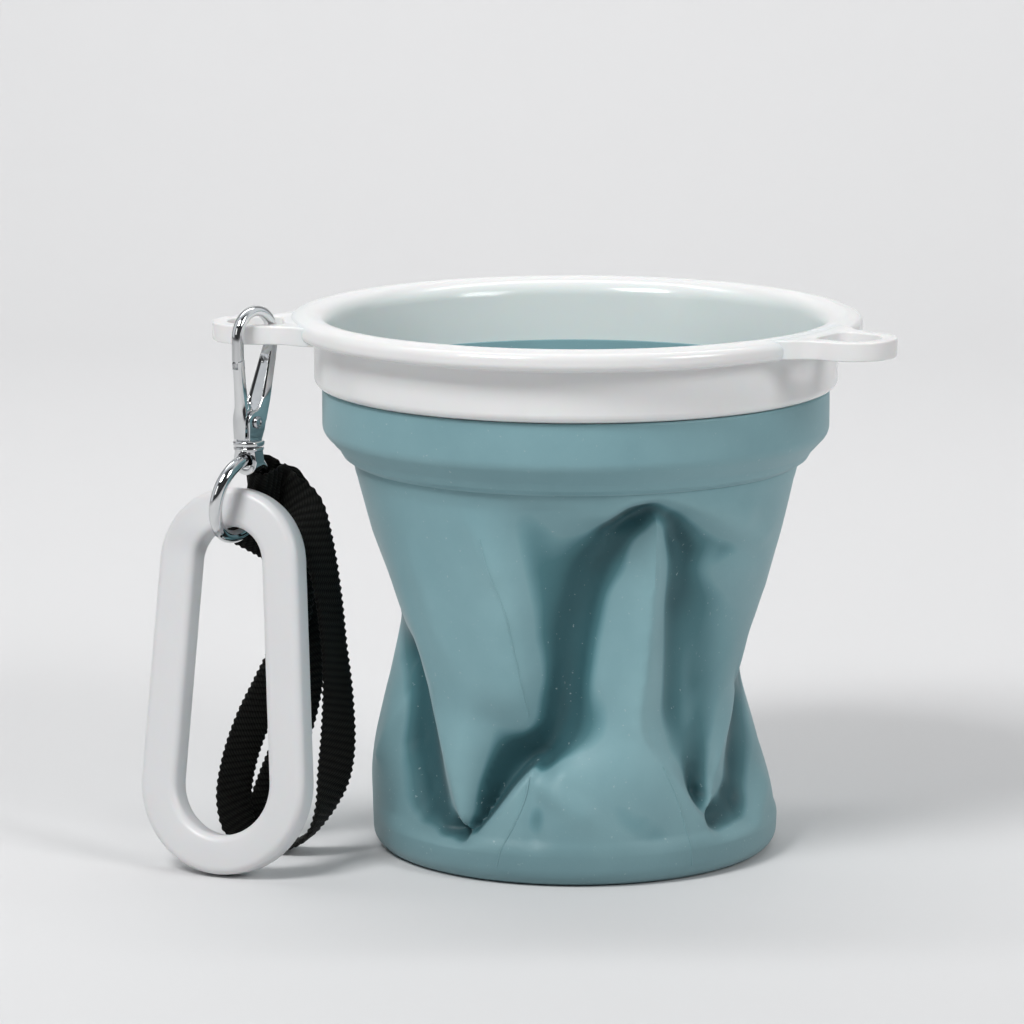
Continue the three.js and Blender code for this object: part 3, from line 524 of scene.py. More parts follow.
# each stop is the angle from the front, plus to the right, then the height and the outer radius
folds = {
    "leftWall": [(-86, 97, 57), (-86, 84, 53.5), (-85, 71, 48.5), (-80, 64, 46)],
    "leftFlapEdge": [
        (-80, 64, 46), (-59, 59, 48), (-49.5, 49.5, 50), (-43.5, 39, 51.6), (-38.5, 27.5, 52.6),
        (-35, 16.5, 52.8), (-31.5, 11, 52.6),
    ],
    "tipSlope": [(-32.5, 35, 51.2), (-32.5, 24.5, 50.4), (-32.5, 16, 50.2)],
    "leftPocket": [(-72, 53, 41), (-60, 36, 42), (-50, 22, 45), (-41, 11, 49)],
    "leftHeelRidge": [(-73, 51, 43), (-74, 38, 50), (-79, 25, 54)],
    "leftBack": [(-92, 62, 45.5), (-94, 48, 48.5), (-95, 32, 52), (-95, 20, 54)],
    "frontLeftPanel": [(-55, 80, 55), (-48, 60, 53), (-43, 45, 51.5)],
    "crease": [(-25, 91.5, 57), (-22, 80, 55.8), (-19, 69.5, 54), (-17, 56.5, 51.2), (-16.5, 48, 48.6), (-17, 40, 45)],
    "leftShoulder": [(-19, 100.5, 58), (-25, 91.5, 56.9)],
    "archEdge": [(7, 97.5, 57), (14, 102, 57.6), (21, 102, 57.9), (33, 99, 57.8), (49.5, 92, 57), (62.5, 87.5, 56.4)],
    "middleValleyTop": [(22, 99.5, 53), (16, 96.5, 50), (10, 90, 46.5), (5.5, 81, 43)],
    "middleValley": [(5.5, 81, 43), (1.5, 69, 41), (-2, 54, 39.5), (-5, 41, 38.5), (-10, 33.5, 38)],
    "tipHollow": [(-10, 33.5, 38), (-17.5, 30.5, 38), (-22.5, 26.5, 39.5), (-29, 19, 42.5), (-33, 12, 48)],
    "ridgeEdge": [(22, 99, 55), (22.5, 87.5, 54), (22, 72, 53), (20, 53.5, 52), (18.5, 43, 51), (18, 37.5, 50)],
    "rightValleyTop": [(27, 96.5, 52), (34, 85.5, 48), (39.5, 69, 45)],
    "rightValley": [(39.5, 69, 45), (45, 49.5, 43), (47.5, 31, 43.5), (45.5, 19.5, 46), (43.5, 15.5, 48)],
    "kink": [(18.5, 43, 51), (22, 35, 50.8), (29, 28.5, 50.5)],
    "kinkDip": [(21.5, 40, 49.5), (28, 33, 48.8)],
    "apronEdge": [(22, 35, 50.8), (30.5, 26.5, 50.8), (38, 18, 51.3), (45.5, 7, 53)],
    "rightFlapEdge": [(75, 44, 43.5), (57.5, 32.5, 46), (48, 22.5, 48), (42.5, 15, 49.5)],
    "rightPocket": [(81, 40, 41), (68, 26, 43), (60, 15, 47)],
    "heelSwell": [(80, 18, 52), (66, 11, 53)],
    "rightBack": [(95, 42, 43.5), (96, 30, 48), (95, 18, 51.5), (92, 9, 53)],
    "rightWall": [(88, 97, 57), (87, 84, 54), (86, 71, 50.5), (83, 56, 45.5), (76, 45, 43)],
    "underAwning": [(32.5, 92.5, 52.5), (44.5, 85.5, 53), (63, 79.5, 52.5)],
    "apronLeft": [(-31.5, 10, 52), (-22.5, 19.5, 50.5), (-16, 26.5, 49.3), (-13, 30, 48.3)],
    "apronDip": [(-11, 27, 47.5), (-9, 21.5, 50), (-7.5, 16, 52)],
    "apronRidge": [(-4.5, 29, 49.5), (7, 23, 52.2), (19.5, 14.5, 53.3)],
}
creases = ("leftFlapEdge", "ridgeEdge", "apronEdge", "rightFlapEdge", "apronLeft", "kink", "leftHeelRidge")

# fine lines left by the mould: angle and height
mouldLines = {
    "panel": [(-25, 91), (-22.5, 81), (-20.5, 75), (-19, 69.5), (-18, 63), (-16.5, 55), (-15.5, 48), (-15, 43)],
    "foot": [(-14, 28), (-15, 22.5), (-17.5, 16), (-20.5, 10), (-22, 5)],
    "apron": [(26.5, 30.5), (30, 23.5), (32.5, 16), (34, 9.5), (34.5, 4)],
}


# shallow folds over those: both ends as angle and height, then half width and lift
softFolds = (
    ((-13, 28), (5, 17.5), 3.6, 1.2),
    ((0, 31), (28, 9), 6.0, -1.2),
    ((-13, 31), (-11, 9), 2.8, -1.1),
    ((44, 16), (56, 23), 3.0, 0.9),
    ((46, 26), (64, 15), 2.6, -0.9),
    ((-62, 6), (-33, 11), 2.8, -1.0),
    ((-64, 26), (-50, 12), 3.4, -1.1),
    ((-12, 99), (-11, 58), 6.0, -1.7),
    ((-28, 96), (-22, 80), 2.8, 0.8),
    ((32, 99.5), (53, 93), 3.6, 1.1),
    ((29, 91), (49, 83.5), 4.2, -1.6),
    ((-48, 84), (-38, 56), 4.5, 0.8),
    ((6, 93), (24, 98.5), 2.8, -2.0),
    ((13, 82), (6, 46), 4.5, 2.2),
    ((31, 78), (33, 38), 5.0, -2.0),
    ((-27, 46), (-32, 18), 4.5, -1.6),
    ((-76, 46), (-66, 28), 4.0, -2.2),
)


def mouldedRadius(height):
    (topRadius, top), (footRadius, foot) = bowlBody["wallTop"], bowlBody["wallFoot"]
    return footRadius + (topRadius - footRadius) * (height - foot) / (top - foot)


def holdFolds(skin, held, creased):
    rows, columns = skin.shape
    foot, top = bowlBody["wallFoot"][1], bowlBody["wallTop"][1]
    for name, stops in folds.items():
        sides = [lambda angle: angle]
        if all(abs(stop[0]) <= 92 for stop in stops):
            sides.append(lambda angle: 180 + 0.78 * angle)
        for (a0, z0, r0), (a1, z1, r1) in zip(stops, stops[1:]):
            for t in np.linspace(0, 1, int(math.hypot(a1 - a0, z1 - z0) * 6) + 2):
                row = int(round((z0 + (z1 - z0) * t - foot) / (top - foot) * (rows - 1)))
                row = min(max(row, 1), rows - 2)
                for side in sides:
                    column = int(round(side(a0 + (a1 - a0) * t) / 360 * columns)) % columns
                    skin[row, column] = r0 + (r1 - r0) * t
                    held[row, column] = True
                    creased[row, column] = name in creases


def curvature(skin, across, along):
    bent = np.zeros_like(skin)
    beside = np.roll(skin, 1, axis=1) + np.roll(skin, -1, axis=1) - 2 * skin
    bent[1:-1] = across * beside[1:-1] + along * (skin[:-2] + skin[2:] - 2 * skin[1:-1])
    return bent


def relax(skin, held, creased, across, along, passes):
    # least bending between the held lines by conjugate gradients; creases bend freely
    stiffness = np.where(creased, 0.0, 1.0)

    def pull(shape):
        bent = curvature(shape, across, along)
        force = curvature(stiffness * bent, across, along) - bowlBody["tension"] * bent
        force[held] = 0
        return force

    rest = -pull(skin)
    step = rest.copy()
    size = (rest * rest).sum()
    for _ in range(passes):
        push = pull(step)
        reach = size / max((step * push).sum(), 1e-30)
        skin = skin + reach * step
        rest = rest - reach * push
        newSize = (rest * rest).sum()
        if newSize < 1e-10:
            break
        step = rest + newSize / size * step
        size = newSize
    return skin


def drawSkin():
    skin = None
    foot, top = bowlBody["wallFoot"][1], bowlBody["wallTop"][1]
    for columns, rows, passes in bowlBody["levels"]:
        heights = np.linspace(foot, top, rows)
        moulded = np.repeat(mouldedRadius(heights)[:, None], columns, axis=1)
        if skin is None:
            skin = moulded.copy()
        else:
            rise = np.linspace(0, skin.shape[0] - 1, rows)
            low = np.minimum(rise.astype(int), skin.shape[0] - 2)
            part = (rise - low)[:, None]
            skin = skin[low] * (1 - part) + skin[low + 1] * part
            skin = np.stack([skin, (skin + np.roll(skin, -1, axis=1)) / 2], axis=2).reshape(rows, columns)
        skin[0], skin[-1] = moulded[0], moulded[-1]
        held = np.zeros(skin.shape, bool)
        creased = np.zeros(skin.shape, bool)
        holdFolds(skin, held, creased)
        held[0] = held[-1] = True
        across = (columns / (fullTurn * 50)) ** 2
        along = ((rows - 1) / (top - foot)) ** 2
        skin = relax(skin, held, creased, across, along, passes)
    for _ in range(bowlBody["softPasses"]):
        skin = skin + 0.3 / (across + along) * curvature(skin, across, along)
    return addSoftFolds(skin, foot, top)


def addSoftFolds(skin, foot, top):
    rows, columns = skin.shape
    angles = (np.arange(columns) * 360 / columns + 180) % 360 - 180
    heights = np.linspace(foot, top, rows)
    reach = math.radians(50)
    across, up = np.meshgrid(angles * reach, heights)
    for start, end, halfWidth, lift in softFolds:
        a = np.array([start[0] * reach, start[1]])
        b = np.array([end[0] * reach, end[1]])
        length = np.linalg.norm(b - a)
        way = (b - a) / length
        along = (across - a[0]) * way[0] + (up - a[1]) * way[1]
        beside = (across - a[0]) * way[1] - (up - a[1]) * way[0]
        past = np.maximum(0, np.abs(along - length / 2) - 0.3 * length)
        skin = skin + lift * np.exp(-((beside / halfWidth) ** 2) - (past / (0.25 * length)) ** 2)
    ends = np.clip(np.minimum(heights - foot, top - heights) / 4, 0, 1)[:, None]
    moulded = mouldedRadius(heights)[:, None]
    return skin * ends + moulded * (1 - ends)


def skinAt(skin, angle, height):
    rows, columns = skin.shape
    foot, top = bowlBody["wallFoot"][1], bowlBody["wallTop"][1]
    across = (angle / 360) % 1 * columns
    up = np.clip((height - foot) / (top - foot), 0, 1) * (rows - 1)
    column = across.astype(int) % columns
    row = np.minimum(up.astype(int), rows - 2)
    s, t = across - across.astype(int), up - row
    beside = (column + 1) % columns
    low = skin[row, column] * (1 - s) + skin[row, beside] * s
    high = skin[row + 1, column] * (1 - s) + skin[row + 1, beside] * s
    return low * (1 - t) + high * t


def makeSilicone():
    band, inner, top = bowlBody["bandRadius"], bowlBody["bandInner"], bowlBody["bandTop"]
    (topRadius, topHeight), (footRadius, footHeight) = bowlBody["wallTop"], bowlBody["wallFoot"]
    wall, floor = bowlBody["wallThickness"], bowlBody["baseThickness"]
    heights = np.linspace(footHeight, topHeight, bowlBody["rows"])
    heel = filletPath([(30, 0), (footRadius - 0.3, 0, 5.0), (footRadius, footHeight)], 8)
    bandLine = filletPath(
        [
            (topRadius, topHeight),
            (topRadius + 1.3, topHeight + 0.6, 0.7),
            (61.0, 104.6, 0.8),
            (62.2, 106.6, 2.0),
            (band, 111.2, 4.5),
            (band, top - 0.6, 0.4),
            (band - 0.3, top),
        ],
        5,
    )
    channelFloor = top - 8.8
    channel = [(65.5, top), (65.5, channelFloor), (63.3, channelFloor), (63.3, top)]
    innerLine = filletPath(
        [
            (62.75, top),
            (63.0, 125.4, 0.15),
            (inner, 125.8, 0.3),
            (inner, 113.0, 3.0),
            (59.5, 107.5, 3.0),
            (topRadius - wall, topHeight),
        ],
        4,
    )
    innerFoot = footRadius - wall
    innerHeel = filletPath([(innerFoot, footHeight), (innerFoot - 0.6, floor, 4.5), (30, floor)], 6)
    profile = [(0, 0), (15, 0)] + heel
    profile += [(mouldedRadius(z), z) for z in heights[1:-1]]
    profile += bandLine + channel + innerLine
    profile += [(mouldedRadius(z) - wall, z) for z in heights[-2:0:-3]]
    profile += innerHeel + [(15, floor), (0, floor)]

    bm = bmesh.new()
    spinProfile(bm, profile, bowlBody["columns"])
    skin = drawSkin()
    bm.verts.ensure_lookup_table()
    places = np.array([vert.co[:] for vert in bm.verts])
    radii = np.hypot(places[:, 0], places[:, 1])
    angles = np.degrees(np.arctan2(places[:, 0], -places[:, 1]))
    inWall = (radii > 40) & (places[:, 2] > footHeight) & (places[:, 2] < topHeight)
    outer = skinAt(skin, angles, places[:, 2])
    inside = radii < mouldedRadius(places[:, 2]) - 0.5 * wall
    ratio = np.where(inWall, (outer - wall * inside) / np.maximum(radii, 1), 1)
    # painted fold shade: each wall point is set against the mean of its near and wide neighbours, so hollows get
    # values below 0.5 and ridges above it, stored for the silicone colour
    about = [(11, 0), (-11, 0), (0, 9), (0, -9), (8, 6), (8, -6), (-8, 6), (-8, -6)]
    near = sum(skinAt(skin, angles + a, places[:, 2] + h) for a, h in about) / len(about)
    beyond = [(24, 0), (-24, 0), (0, 20), (0, -20)]
    wide = sum(skinAt(skin, angles + a, places[:, 2] + h) for a, h in beyond) / len(beyond)
    deep = np.where(inWall, np.clip(0.5 + 0.15 * (outer - near) + 0.035 * (outer - wide), 0, 1), 0.5)
    foldShadeLayer = bm.verts.layers.float.new("paintedFoldShade")
    for vert, share, foldShade in zip(bm.verts, ratio, deep):
        vert.co.x *= share
        vert.co.y *= share
        vert[foldShadeLayer] = foldShade
    for stops in mouldLines.values():
        line = splineThrough(stops, 8)
        radii = np.where(line[:, 1] > footHeight, skinAt(skin, line[:, 0], line[:, 1]), footRadius - 0.1)
        turns = np.radians(line[:, 0])
        centres = np.stack([radii * np.sin(turns), -radii * np.cos(turns), line[:, 1]], axis=1)
        rings = []
        for i, centre in enumerate(centres):
            ahead = centres[min(i + 1, len(centres) - 1)] - centres[max(i - 1, 0)]
            ahead /= np.linalg.norm(ahead)
            out = np.array([math.sin(turns[i]), -math.cos(turns[i]), 0])
            side = np.cross(ahead, out)
            rings.append(boxyRing(centre, side, out, 0.24, 0.2, 2, 6))
        # the mould lines take a fold-shade value of 0.8, a slight painted highlight along them
        for vert in [v for ring in sweepRings(bm, rings) for v in ring]:
            vert[foldShadeLayer] = 0.8
    uv = bm.loops.layers.uv.new("skin")
    for face in bm.faces:
        for corner in face.loops:
            x, y, z = corner.vert.co
            corner[uv].uv = (math.degrees(math.atan2(x, -y)) / 100, z / 100)
    bowl = finishPiece(bm, "siliconeBowl", None, tealSilicone, ["silicone_body"], sharp=50)
    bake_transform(bowl)
    return bowl


siliconeBowl = makeSilicone()
print("silicone bowl:", len(siliconeBowl.data.polygons), "faces")


# rim: turned flange and skirt, with two looped ears

rim = {
    "flangeRadius": 75.0,
    "top": 142.2,
    "bottom": 123.0,
    "skirtRadius": 68.6,
    "mouthRadius": 64.6,
    "steps": 240,
}
ear = {
    "angles": (187.5, -33.5),
    "tops": (141.0, 142.0),
    "halfWidth": 11.4,
    "strand": 4.0,
    "tip": 95.2,
    "holeStart": 76.6,
    "thickness": 4.8,
    "round": 2.25,
}


def loopOf(bm, points, height):
    verts = [bm.verts.new((x, y, height)) for x, y in points]
    return [bm.edges.new((a, b)) for a, b in zip(verts, verts[1:] + verts[:1])]


def evenly(points, count):
    ring = np.array(list(points) + [points[0]])
    gone = np.concatenate([[0], np.cumsum(np.linalg.norm(np.diff(ring, axis=0), axis=1))])
    at = np.linspace(0, gone[-1], count, endpoint=False)
    return list(zip(np.interp(at, gone, ring[:, 0]), np.interp(at, gone, ring[:, 1])))


def roundedPlate(bm, outline, hole, low, thickness, roundness, segments=5):
    before = set(bm.faces)
    edges = loopOf(bm, outline, low)
    if hole:
        edges += loopOf(bm, hole, low)
        bmesh.ops.bridge_loops(bm, edges=edges)
    else:
        bmesh.ops.contextual_create(bm, geom=edges)
    faces = [f for f in bm.faces if f not in before]
    lifted = bmesh.ops.extrude_face_region(bm, geom=faces, use_keep_orig=True)
    verts = [g for g in lifted["geom"] if isinstance(g, bmesh.types.BMVert)]
    bmesh.ops.translate(bm, verts=verts, vec=(0, 0, thickness))
    made = [f for f in bm.faces if f not in before]
    bmesh.ops.recalc_face_normals(bm, faces=made)
    rims = [
        e
        for e in {edge for face in made for edge in face.edges}
        if len(e.link_faces) == 2 and e.calc_face_angle(0) > 1.2 and abs(e.verts[0].co.z - e.verts[1].co.z) < 0.01
    ]
    bmesh.ops.bevel(
        bm,
        geom=rims,
        offset=roundness,
        offset_type="OFFSET",
        affect="EDGES",
        segments=segments,
        profile=0.5,
        material=-1,
        clamp_overlap=True,
    )


def joinInto(bm, piece):
    copied = bpy.data.meshes.new("joined")
    piece.to_mesh(copied)
    piece.free()
    bm.from_mesh(copied)
    bpy.data.meshes.remove(copied)


def arcPoints(centre, radius, start, end, count):
    angles = np.radians(np.linspace(start, end, count))
    return [(centre[0] + radius * math.cos(a), centre[1] + radius * math.sin(a)) for a in angles]


def makeRim():
    skirt, flange, mouth = rim["skirtRadius"], rim["flangeRadius"], rim["mouthRadius"]
    top, bottom = rim["top"], rim["bottom"]
    profile = filletPath(
        [
            (63.6, bottom - 8.8),
            (65.2, bottom - 8.8, 0.3),
            (65.2, bottom),
            (skirt, bottom, 2.4),
            (skirt, 137.0, 1.3),
            (flange, 136.9, 1.9),
            (flange, 141.2, 2.2),
            (70.6, top + 0.15, 5.0),
            (mouth + 0.3, top - 1.0, 5.2),
            (63.0, bottom, 0.3),
            (63.6, bottom),
        ],
        7,
    )
    bm = bmesh.new()
    spinProfile(bm, profile, rim["steps"], closed=True)
    centre = ear["tip"] - ear["halfWidth"]
    half = ear["halfWidth"]
    holeHalf = half - ear["strand"]
    flare = splineThrough([(69.5, 18.0), (73.5, 16.0), (77.5, 12.9), (81.0, 11.6), (centre, half)], 8)
    outline = arcPoints((centre, 0), half, -90, 90, 40)
    outline += [tuple(p) for p in flare[::-1][1:]]
    outline += [(x, -y) for x, y in flare[:-1]]
    corner = arcPoints((ear["holeStart"] + 3, holeHalf - 3), 3, 90, 180, 8)
    hole = arcPoints((centre, 0), holeHalf, -90, 90, 32) + corner + [(x, -y) for x, y in corner[::-1]]
    for angle, earTop in zip(ear["angles"], ear["tops"]):
        plate = bmesh.new()
        low = earTop - ear["thickness"]
        roundedPlate(plate, evenly(outline, 120), evenly(hole, 120), low, ear["thickness"], ear["round"])
        bmesh.ops.rotate(plate, verts=plate.verts, matrix=Matrix.Rotation(math.radians(angle), 3, "Z"))
        joinInto(bm, plate)
    return finishPiece(bm, "moulded_rim", "rim", rimWhite, ["rim"], sharp=50)


mouldedRim = makeRim()
print("rim:", len(mouldedRim.data.polygons), "faces")


# snap hook, in its own plane: x across, z up from the bow's centre, y through it

hook = {
    "turn": 52.0,
    "bowInner": 5.2,
    "bowOuter": 8.1,
    "bowSlack": 2.4,
    "thickness": 3.0,
    "footThickness": 5.6,
    "slot": 3.6,
    "rivet": (-2.6, -21.9),
    "cheek": 3.0,
    "axisAt": -2.7,
    "collarRadius": 4.15,
    "collarTop": -26.8,
    "collarBottom": -28.1,
    "noseEnd": -4.9,
    "groove": 0.55,
}
earTurn = math.radians(ear["angles"][0])
strandReach = ear["tip"] - ear["halfWidth"] + 1
strandSide = ear["halfWidth"] - ear["strand"] / 2
strandAt = Vector(
    (
        strandReach * math.cos(earTurn) - strandSide * math.sin(earTurn),
        strandReach * math.sin(earTurn) + strandSide * math.cos(earTurn),
        ear["tops"][0] + hook["bowSlack"] - hook["bowInner"],
    )
)
hookPlace = Matrix.Translation(strandAt) @ Matrix.Rotation(math.radians(hook["turn"]), 4, "Z")
axisAt = hookPlace @ Vector((hook["axisAt"], 0, 0))
standing = Matrix.Rotation(math.pi / 2, 4, "X")


def bowRings():
    middle = (hook["bowInner"] + hook["bowOuter"]) / 2
    half = (hook["bowOuter"] - hook["bowInner"]) / 2
    line = [(-middle, hook["noseEnd"] + 0.45 * k, half, 1.5, 2.4, 0) for k in range(11)]
    for k in range(1, 40):
        turn = math.pi * (1 - k / 40)
        line.append((middle * math.cos(turn), middle * math.sin(turn), half, 1.5, 2.3, 0))
    for k in range(25):
        t = k / 24
        outer = 8.1 + (0.95 - 8.1) * t, -1 - 22.2 * t
        inner = 5.2 + (-1.35 - 5.2) * t, -1 - 18.6 * t
        flat = min(1, t * 4)
        line.append(
            (
                (outer[0] + inner[0]) / 2,
                (outer[1] + inner[1]) / 2,
                math.dist(outer, inner) / 2 * (1 - 0.1 * t),
                1.5 + 1.33 * min(1, 1.35 * t),
                2.3 + 3.0 * flat,
                hook["groove"] if 0.25 < t < 0.85 else 0,
            )
        )
    rings = []
    for i, (u, w, wideHalf, deepHalf, power, groove) in enumerate(line):
        before, after = line[max(i - 1, 0)], line[min(i + 1, len(line) - 1)]
        along = Vector((after[0] - before[0], 0, after[1] - before[1])).normalized()
        across = Vector((along.z, 0, -along.x))
        ring = boxyRing((u, 0, w), across, (0, 1, 0), wideHalf, deepHalf, power)
        for k in (-1, 0, 1):
            ring[k] -= across * groove  # the channel down the spine's inner face
        rings.append(ring)
    fromRivet = -middle - hook["rivet"][0]
    reach = gate["reach"] + 0.28
    rise = math.sqrt(reach**2 - fromRivet**2)
    nose = boxyRing((-middle, 0, hook["rivet"][1] + rise), (1, 0, -fromRivet / rise), (0, 1, 0), half, 1.5, 2.4)
    return [nose] + rings


def makeHookBody():
    bm = bmesh.new()
    sweepRings(bm, bowRings())
    rivetU, rivetW = hook["rivet"]
    cheek, collarTop = hook["cheek"], hook["collarTop"]
    outline = [(2.6, -15.6), (0.75, -24.2), (-0.2, collarTop), (-5.1, collarTop), (rivetU - cheek, rivetW)]
    outline += arcPoints((rivetU, rivetW), cheek, 180, 100, 12)[1:]
    outline += [(-2.4, -18.8), (-1.8, -18.45), (-1.3, -17.9), (-0.85, -17.2), (-0.4, -16.4), (0.1, -15.6)]
    wall = (hook["footThickness"] - hook["slot"]) / 2
    for side in (-1, 1):
        plate = bmesh.new()
        low = hook["slot"] / 2 if side > 0 else -hook["footThickness"] / 2
        roundedPlate(plate, outline, None, low, wall, 0.3, 3)
        bmesh.ops.transform(plate, verts=plate.verts, matrix=standing)
        joinInto(bm, plate)
    block = bmesh.new()
    bmesh.ops.create_cube(block, size=1)
    bmesh.ops.scale(block, vec=(4.9, hook["slot"] + 0.2, 2.3), verts=block.verts)
    bmesh.ops.translate(block, vec=(-2.65, 0, collarTop + 1.15), verts=block.verts)
    joinInto(bm, block)
    tab = bmesh.new()
    bmesh.ops.create_cube(tab, size=1)
    bmesh.ops.scale(tab, vec=(1.6, 1.4, 3.0), verts=tab.verts)
    bmesh.ops.bevel(tab, geom=tab.edges, offset=0.2, affect="EDGES", segments=2, profile=0.5, material=-1)
    bmesh.ops.translate(tab, vec=(-6.5, 0, hook["noseEnd"] - 0.1), verts=tab.verts)
    joinInto(bm, tab)
    for vert in bm.verts:
        if vert.co.z < rivetW:
            share = (rivetW - vert.co.z) / (rivetW - collarTop)
            vert.co.y *= 1 - 0.14 * min(share, 1)
    collar = bmesh.new()
    low, radius = hook["collarBottom"], hook["collarRadius"]
    profile = filletPath([(0, collarTop + 0.1), (radius, collarTop + 0.1, 0.55), (radius, low, 0.35), (1.6, low)], 5)
    spinProfile(collar, profile, 56)
    bmesh.ops.translate(collar, vec=(hook["axisAt"], 0, 0), verts=collar.verts)
    joinInto(bm, collar)
    bmesh.ops.transform(bm, verts=bm.verts, matrix=hookPlace)
    return finishPiece(bm, "cast_hook", "hook", brightChrome, ["hook_body"], sharp=40)


gate = {
    "outer": -7.9,
    "inner": -5.1,
    "leverInner": -3.9,
    "coverOuter": -6.7,
    "coverInner": -5.9,
    "thickness": 3.0,
    "reach": 16.65,
    "notchFloor": -7.9,
    "prong": 0.62,
    "coverHalf": 2.2,
    "heel": ((3.9, -4.0, 0.6), (3.2, -4.35, 0.75), (2.5, -4.9, 0.9), (1.8, -5.45, 0.97), (0.6, -5.9, 1.0)),
}


def makeGate():
    rivetU, rivetW = hook["rivet"]

    def topAt(u):
        return rivetW + math.sqrt(gate["reach"] ** 2 - (u - rivetU) ** 2)

    def outerAt(w):
        share = (w - rivetW - 1.5) / (topAt(gate["outer"]) - rivetW - 1.5)
        return gate["coverOuter"] + (gate["outer"] - gate["coverOuter"]) * share

    def innerAt(w):
        share = (w - rivetW - 4.5) / (topAt(gate["inner"]) - rivetW - 4.5)
        return gate["leverInner"] + (gate["inner"] - gate["leverInner"]) * share

    def section(w, outer, inner, deepHalf, tilt=0.0, power=2.3):
        return boxyRing(((outer + inner) / 2, 0, w), (1, 0, tilt), (0, 1, 0), (inner - outer) / 2, deepHalf, power, 36)

    floorW, half = gate["notchFloor"], gate["thickness"] / 2
    foot, wide = hook["collarTop"] + 0.6, gate["coverHalf"]
    outer, inner = gate["coverOuter"], gate["coverInner"]
    lever = []
    for share in np.linspace(0, 1, 14):
        w = floorW + (rivetW + 4.5 - floorW) * share
        lever.append(section(w, outerAt(w), innerAt(w), half + 0.5 * (wide - half) * share**2))
    for lift, edge, share in gate["heel"]:
        deep = half + (wide - half) * share
        lever.append(section(rivetW + lift, outerAt(rivetW + max(lift, 1.5)), edge, deep))
    lever.append(section(rivetW - 2, outer, inner, wide * 0.94))
    lever.append(section(foot, outer, inner, wide * 0.86))
    bm = bmesh.new()
    sweepRings(bm, lever)
    middle = (gate["outer"] + gate["inner"]) / 2
    tilt = (rivetU - middle) / (topAt(middle) - rivetW)
    gap = half - gate["prong"]
    for side in (-1, 1):
        rings = [section(w, outerAt(w), innerAt(w), half) for w in np.linspace(floorW - 0.01, -6.5, 4)]
        rings.append(section(topAt(middle), gate["outer"], gate["inner"], half, tilt))
        prong = bmesh.new()
        sweepRings(prong, [[Vector((p.x, side * max(side * p.y, gap), p.z)) for p in ring] for ring in rings])
        joinInto(bm, prong)
    tail = [(gate["coverInner"] + 0.2, rivetW + 5.5), (rivetU - 2.3, rivetW)]
    tail += arcPoints((rivetU, rivetW), 2.3, 180, 360, 20)[1:] + [(gate["leverInner"] - 0.2, rivetW + 5.5)]
    plate = bmesh.new()
    roundedPlate(plate, tail, None, 0.1, 1.3, 0.15, 2)
    bmesh.ops.transform(plate, verts=plate.verts, matrix=standing)
    joinInto(bm, plate)
    bmesh.ops.transform(bm, verts=bm.verts, matrix=hookPlace)
    return finishPiece(bm, "folded_gate", "gate", brightChrome, ["hook_gate"], sharp=40)


rivet = {"pin": 0.9, "head": 1.6, "face": 3.05}


def makeRivet():
    pin, head, face = rivet["pin"], rivet["head"], rivet["face"]
    side = [(0, 0.35), (0.62, 0.35), (0.82, 0.62), (1.2, 0.6), (1.48, 0.36), (head, 0.14), (head, 0)]
    profile = [(r, face + h) for r, h in side] + [(pin, face), (pin, -face)]
    profile += [(r, -face - h) for r, h in side[::-1]]
    bm = bmesh.new()
    spinProfile(bm, profile, 40)
    place = Matrix.Translation((hook["rivet"][0], 0, hook["rivet"][1])) @ standing
    bmesh.ops.transform(bm, verts=bm.verts, matrix=hookPlace @ place)
    return finishPiece(bm, "riveted_pin", "hook", springSteel, ["gate_rivet"], sharp=45)


spring = {"coil": 1.7, "wire": 0.2}


def makeSpring():
    rivetU, rivetW = hook["rivet"]
    coil = spring["coil"]
    line = [Vector((rivetU - coil, 0.45, rivetW + 5.2 * (1 - k / 8))) for k in range(8)]
    for k in range(33):
        turn = fullTurn * k / 32
        line.append(Vector((rivetU - coil * math.cos(turn), 0.45 + 0.85 * k / 32, rivetW - coil * math.sin(turn))))
    line += [Vector((rivetU - coil, 1.3, rivetW - 1.5 * k / 4)) for k in range(1, 5)]
    rings = []
    for i, place in enumerate(line):
        along = (line[min(i + 1, len(line) - 1)] - line[max(i - 1, 0)]).normalized()
        wide = along.cross(Vector((0, 1, 0))).normalized()
        rings.append(boxyRing(place, wide, along.cross(wide), spring["wire"], spring["wire"], 2, 10))
    bm = bmesh.new()
    sweepRings(bm, rings)
    bmesh.ops.transform(bm, verts=bm.verts, matrix=hookPlace)
    return finishPiece(bm, "wound_spring", "gate", springSteel, ["gate_spring"])


eye = {
    "turn": 57.0,
    "holeRadius": 2.4,
    "holeAt": -31.9,
    "bar": 1.45,
    "half": 3.7,
    "thickness": 3.6,
    "post": 1.25,
    "head": 1.9,
}


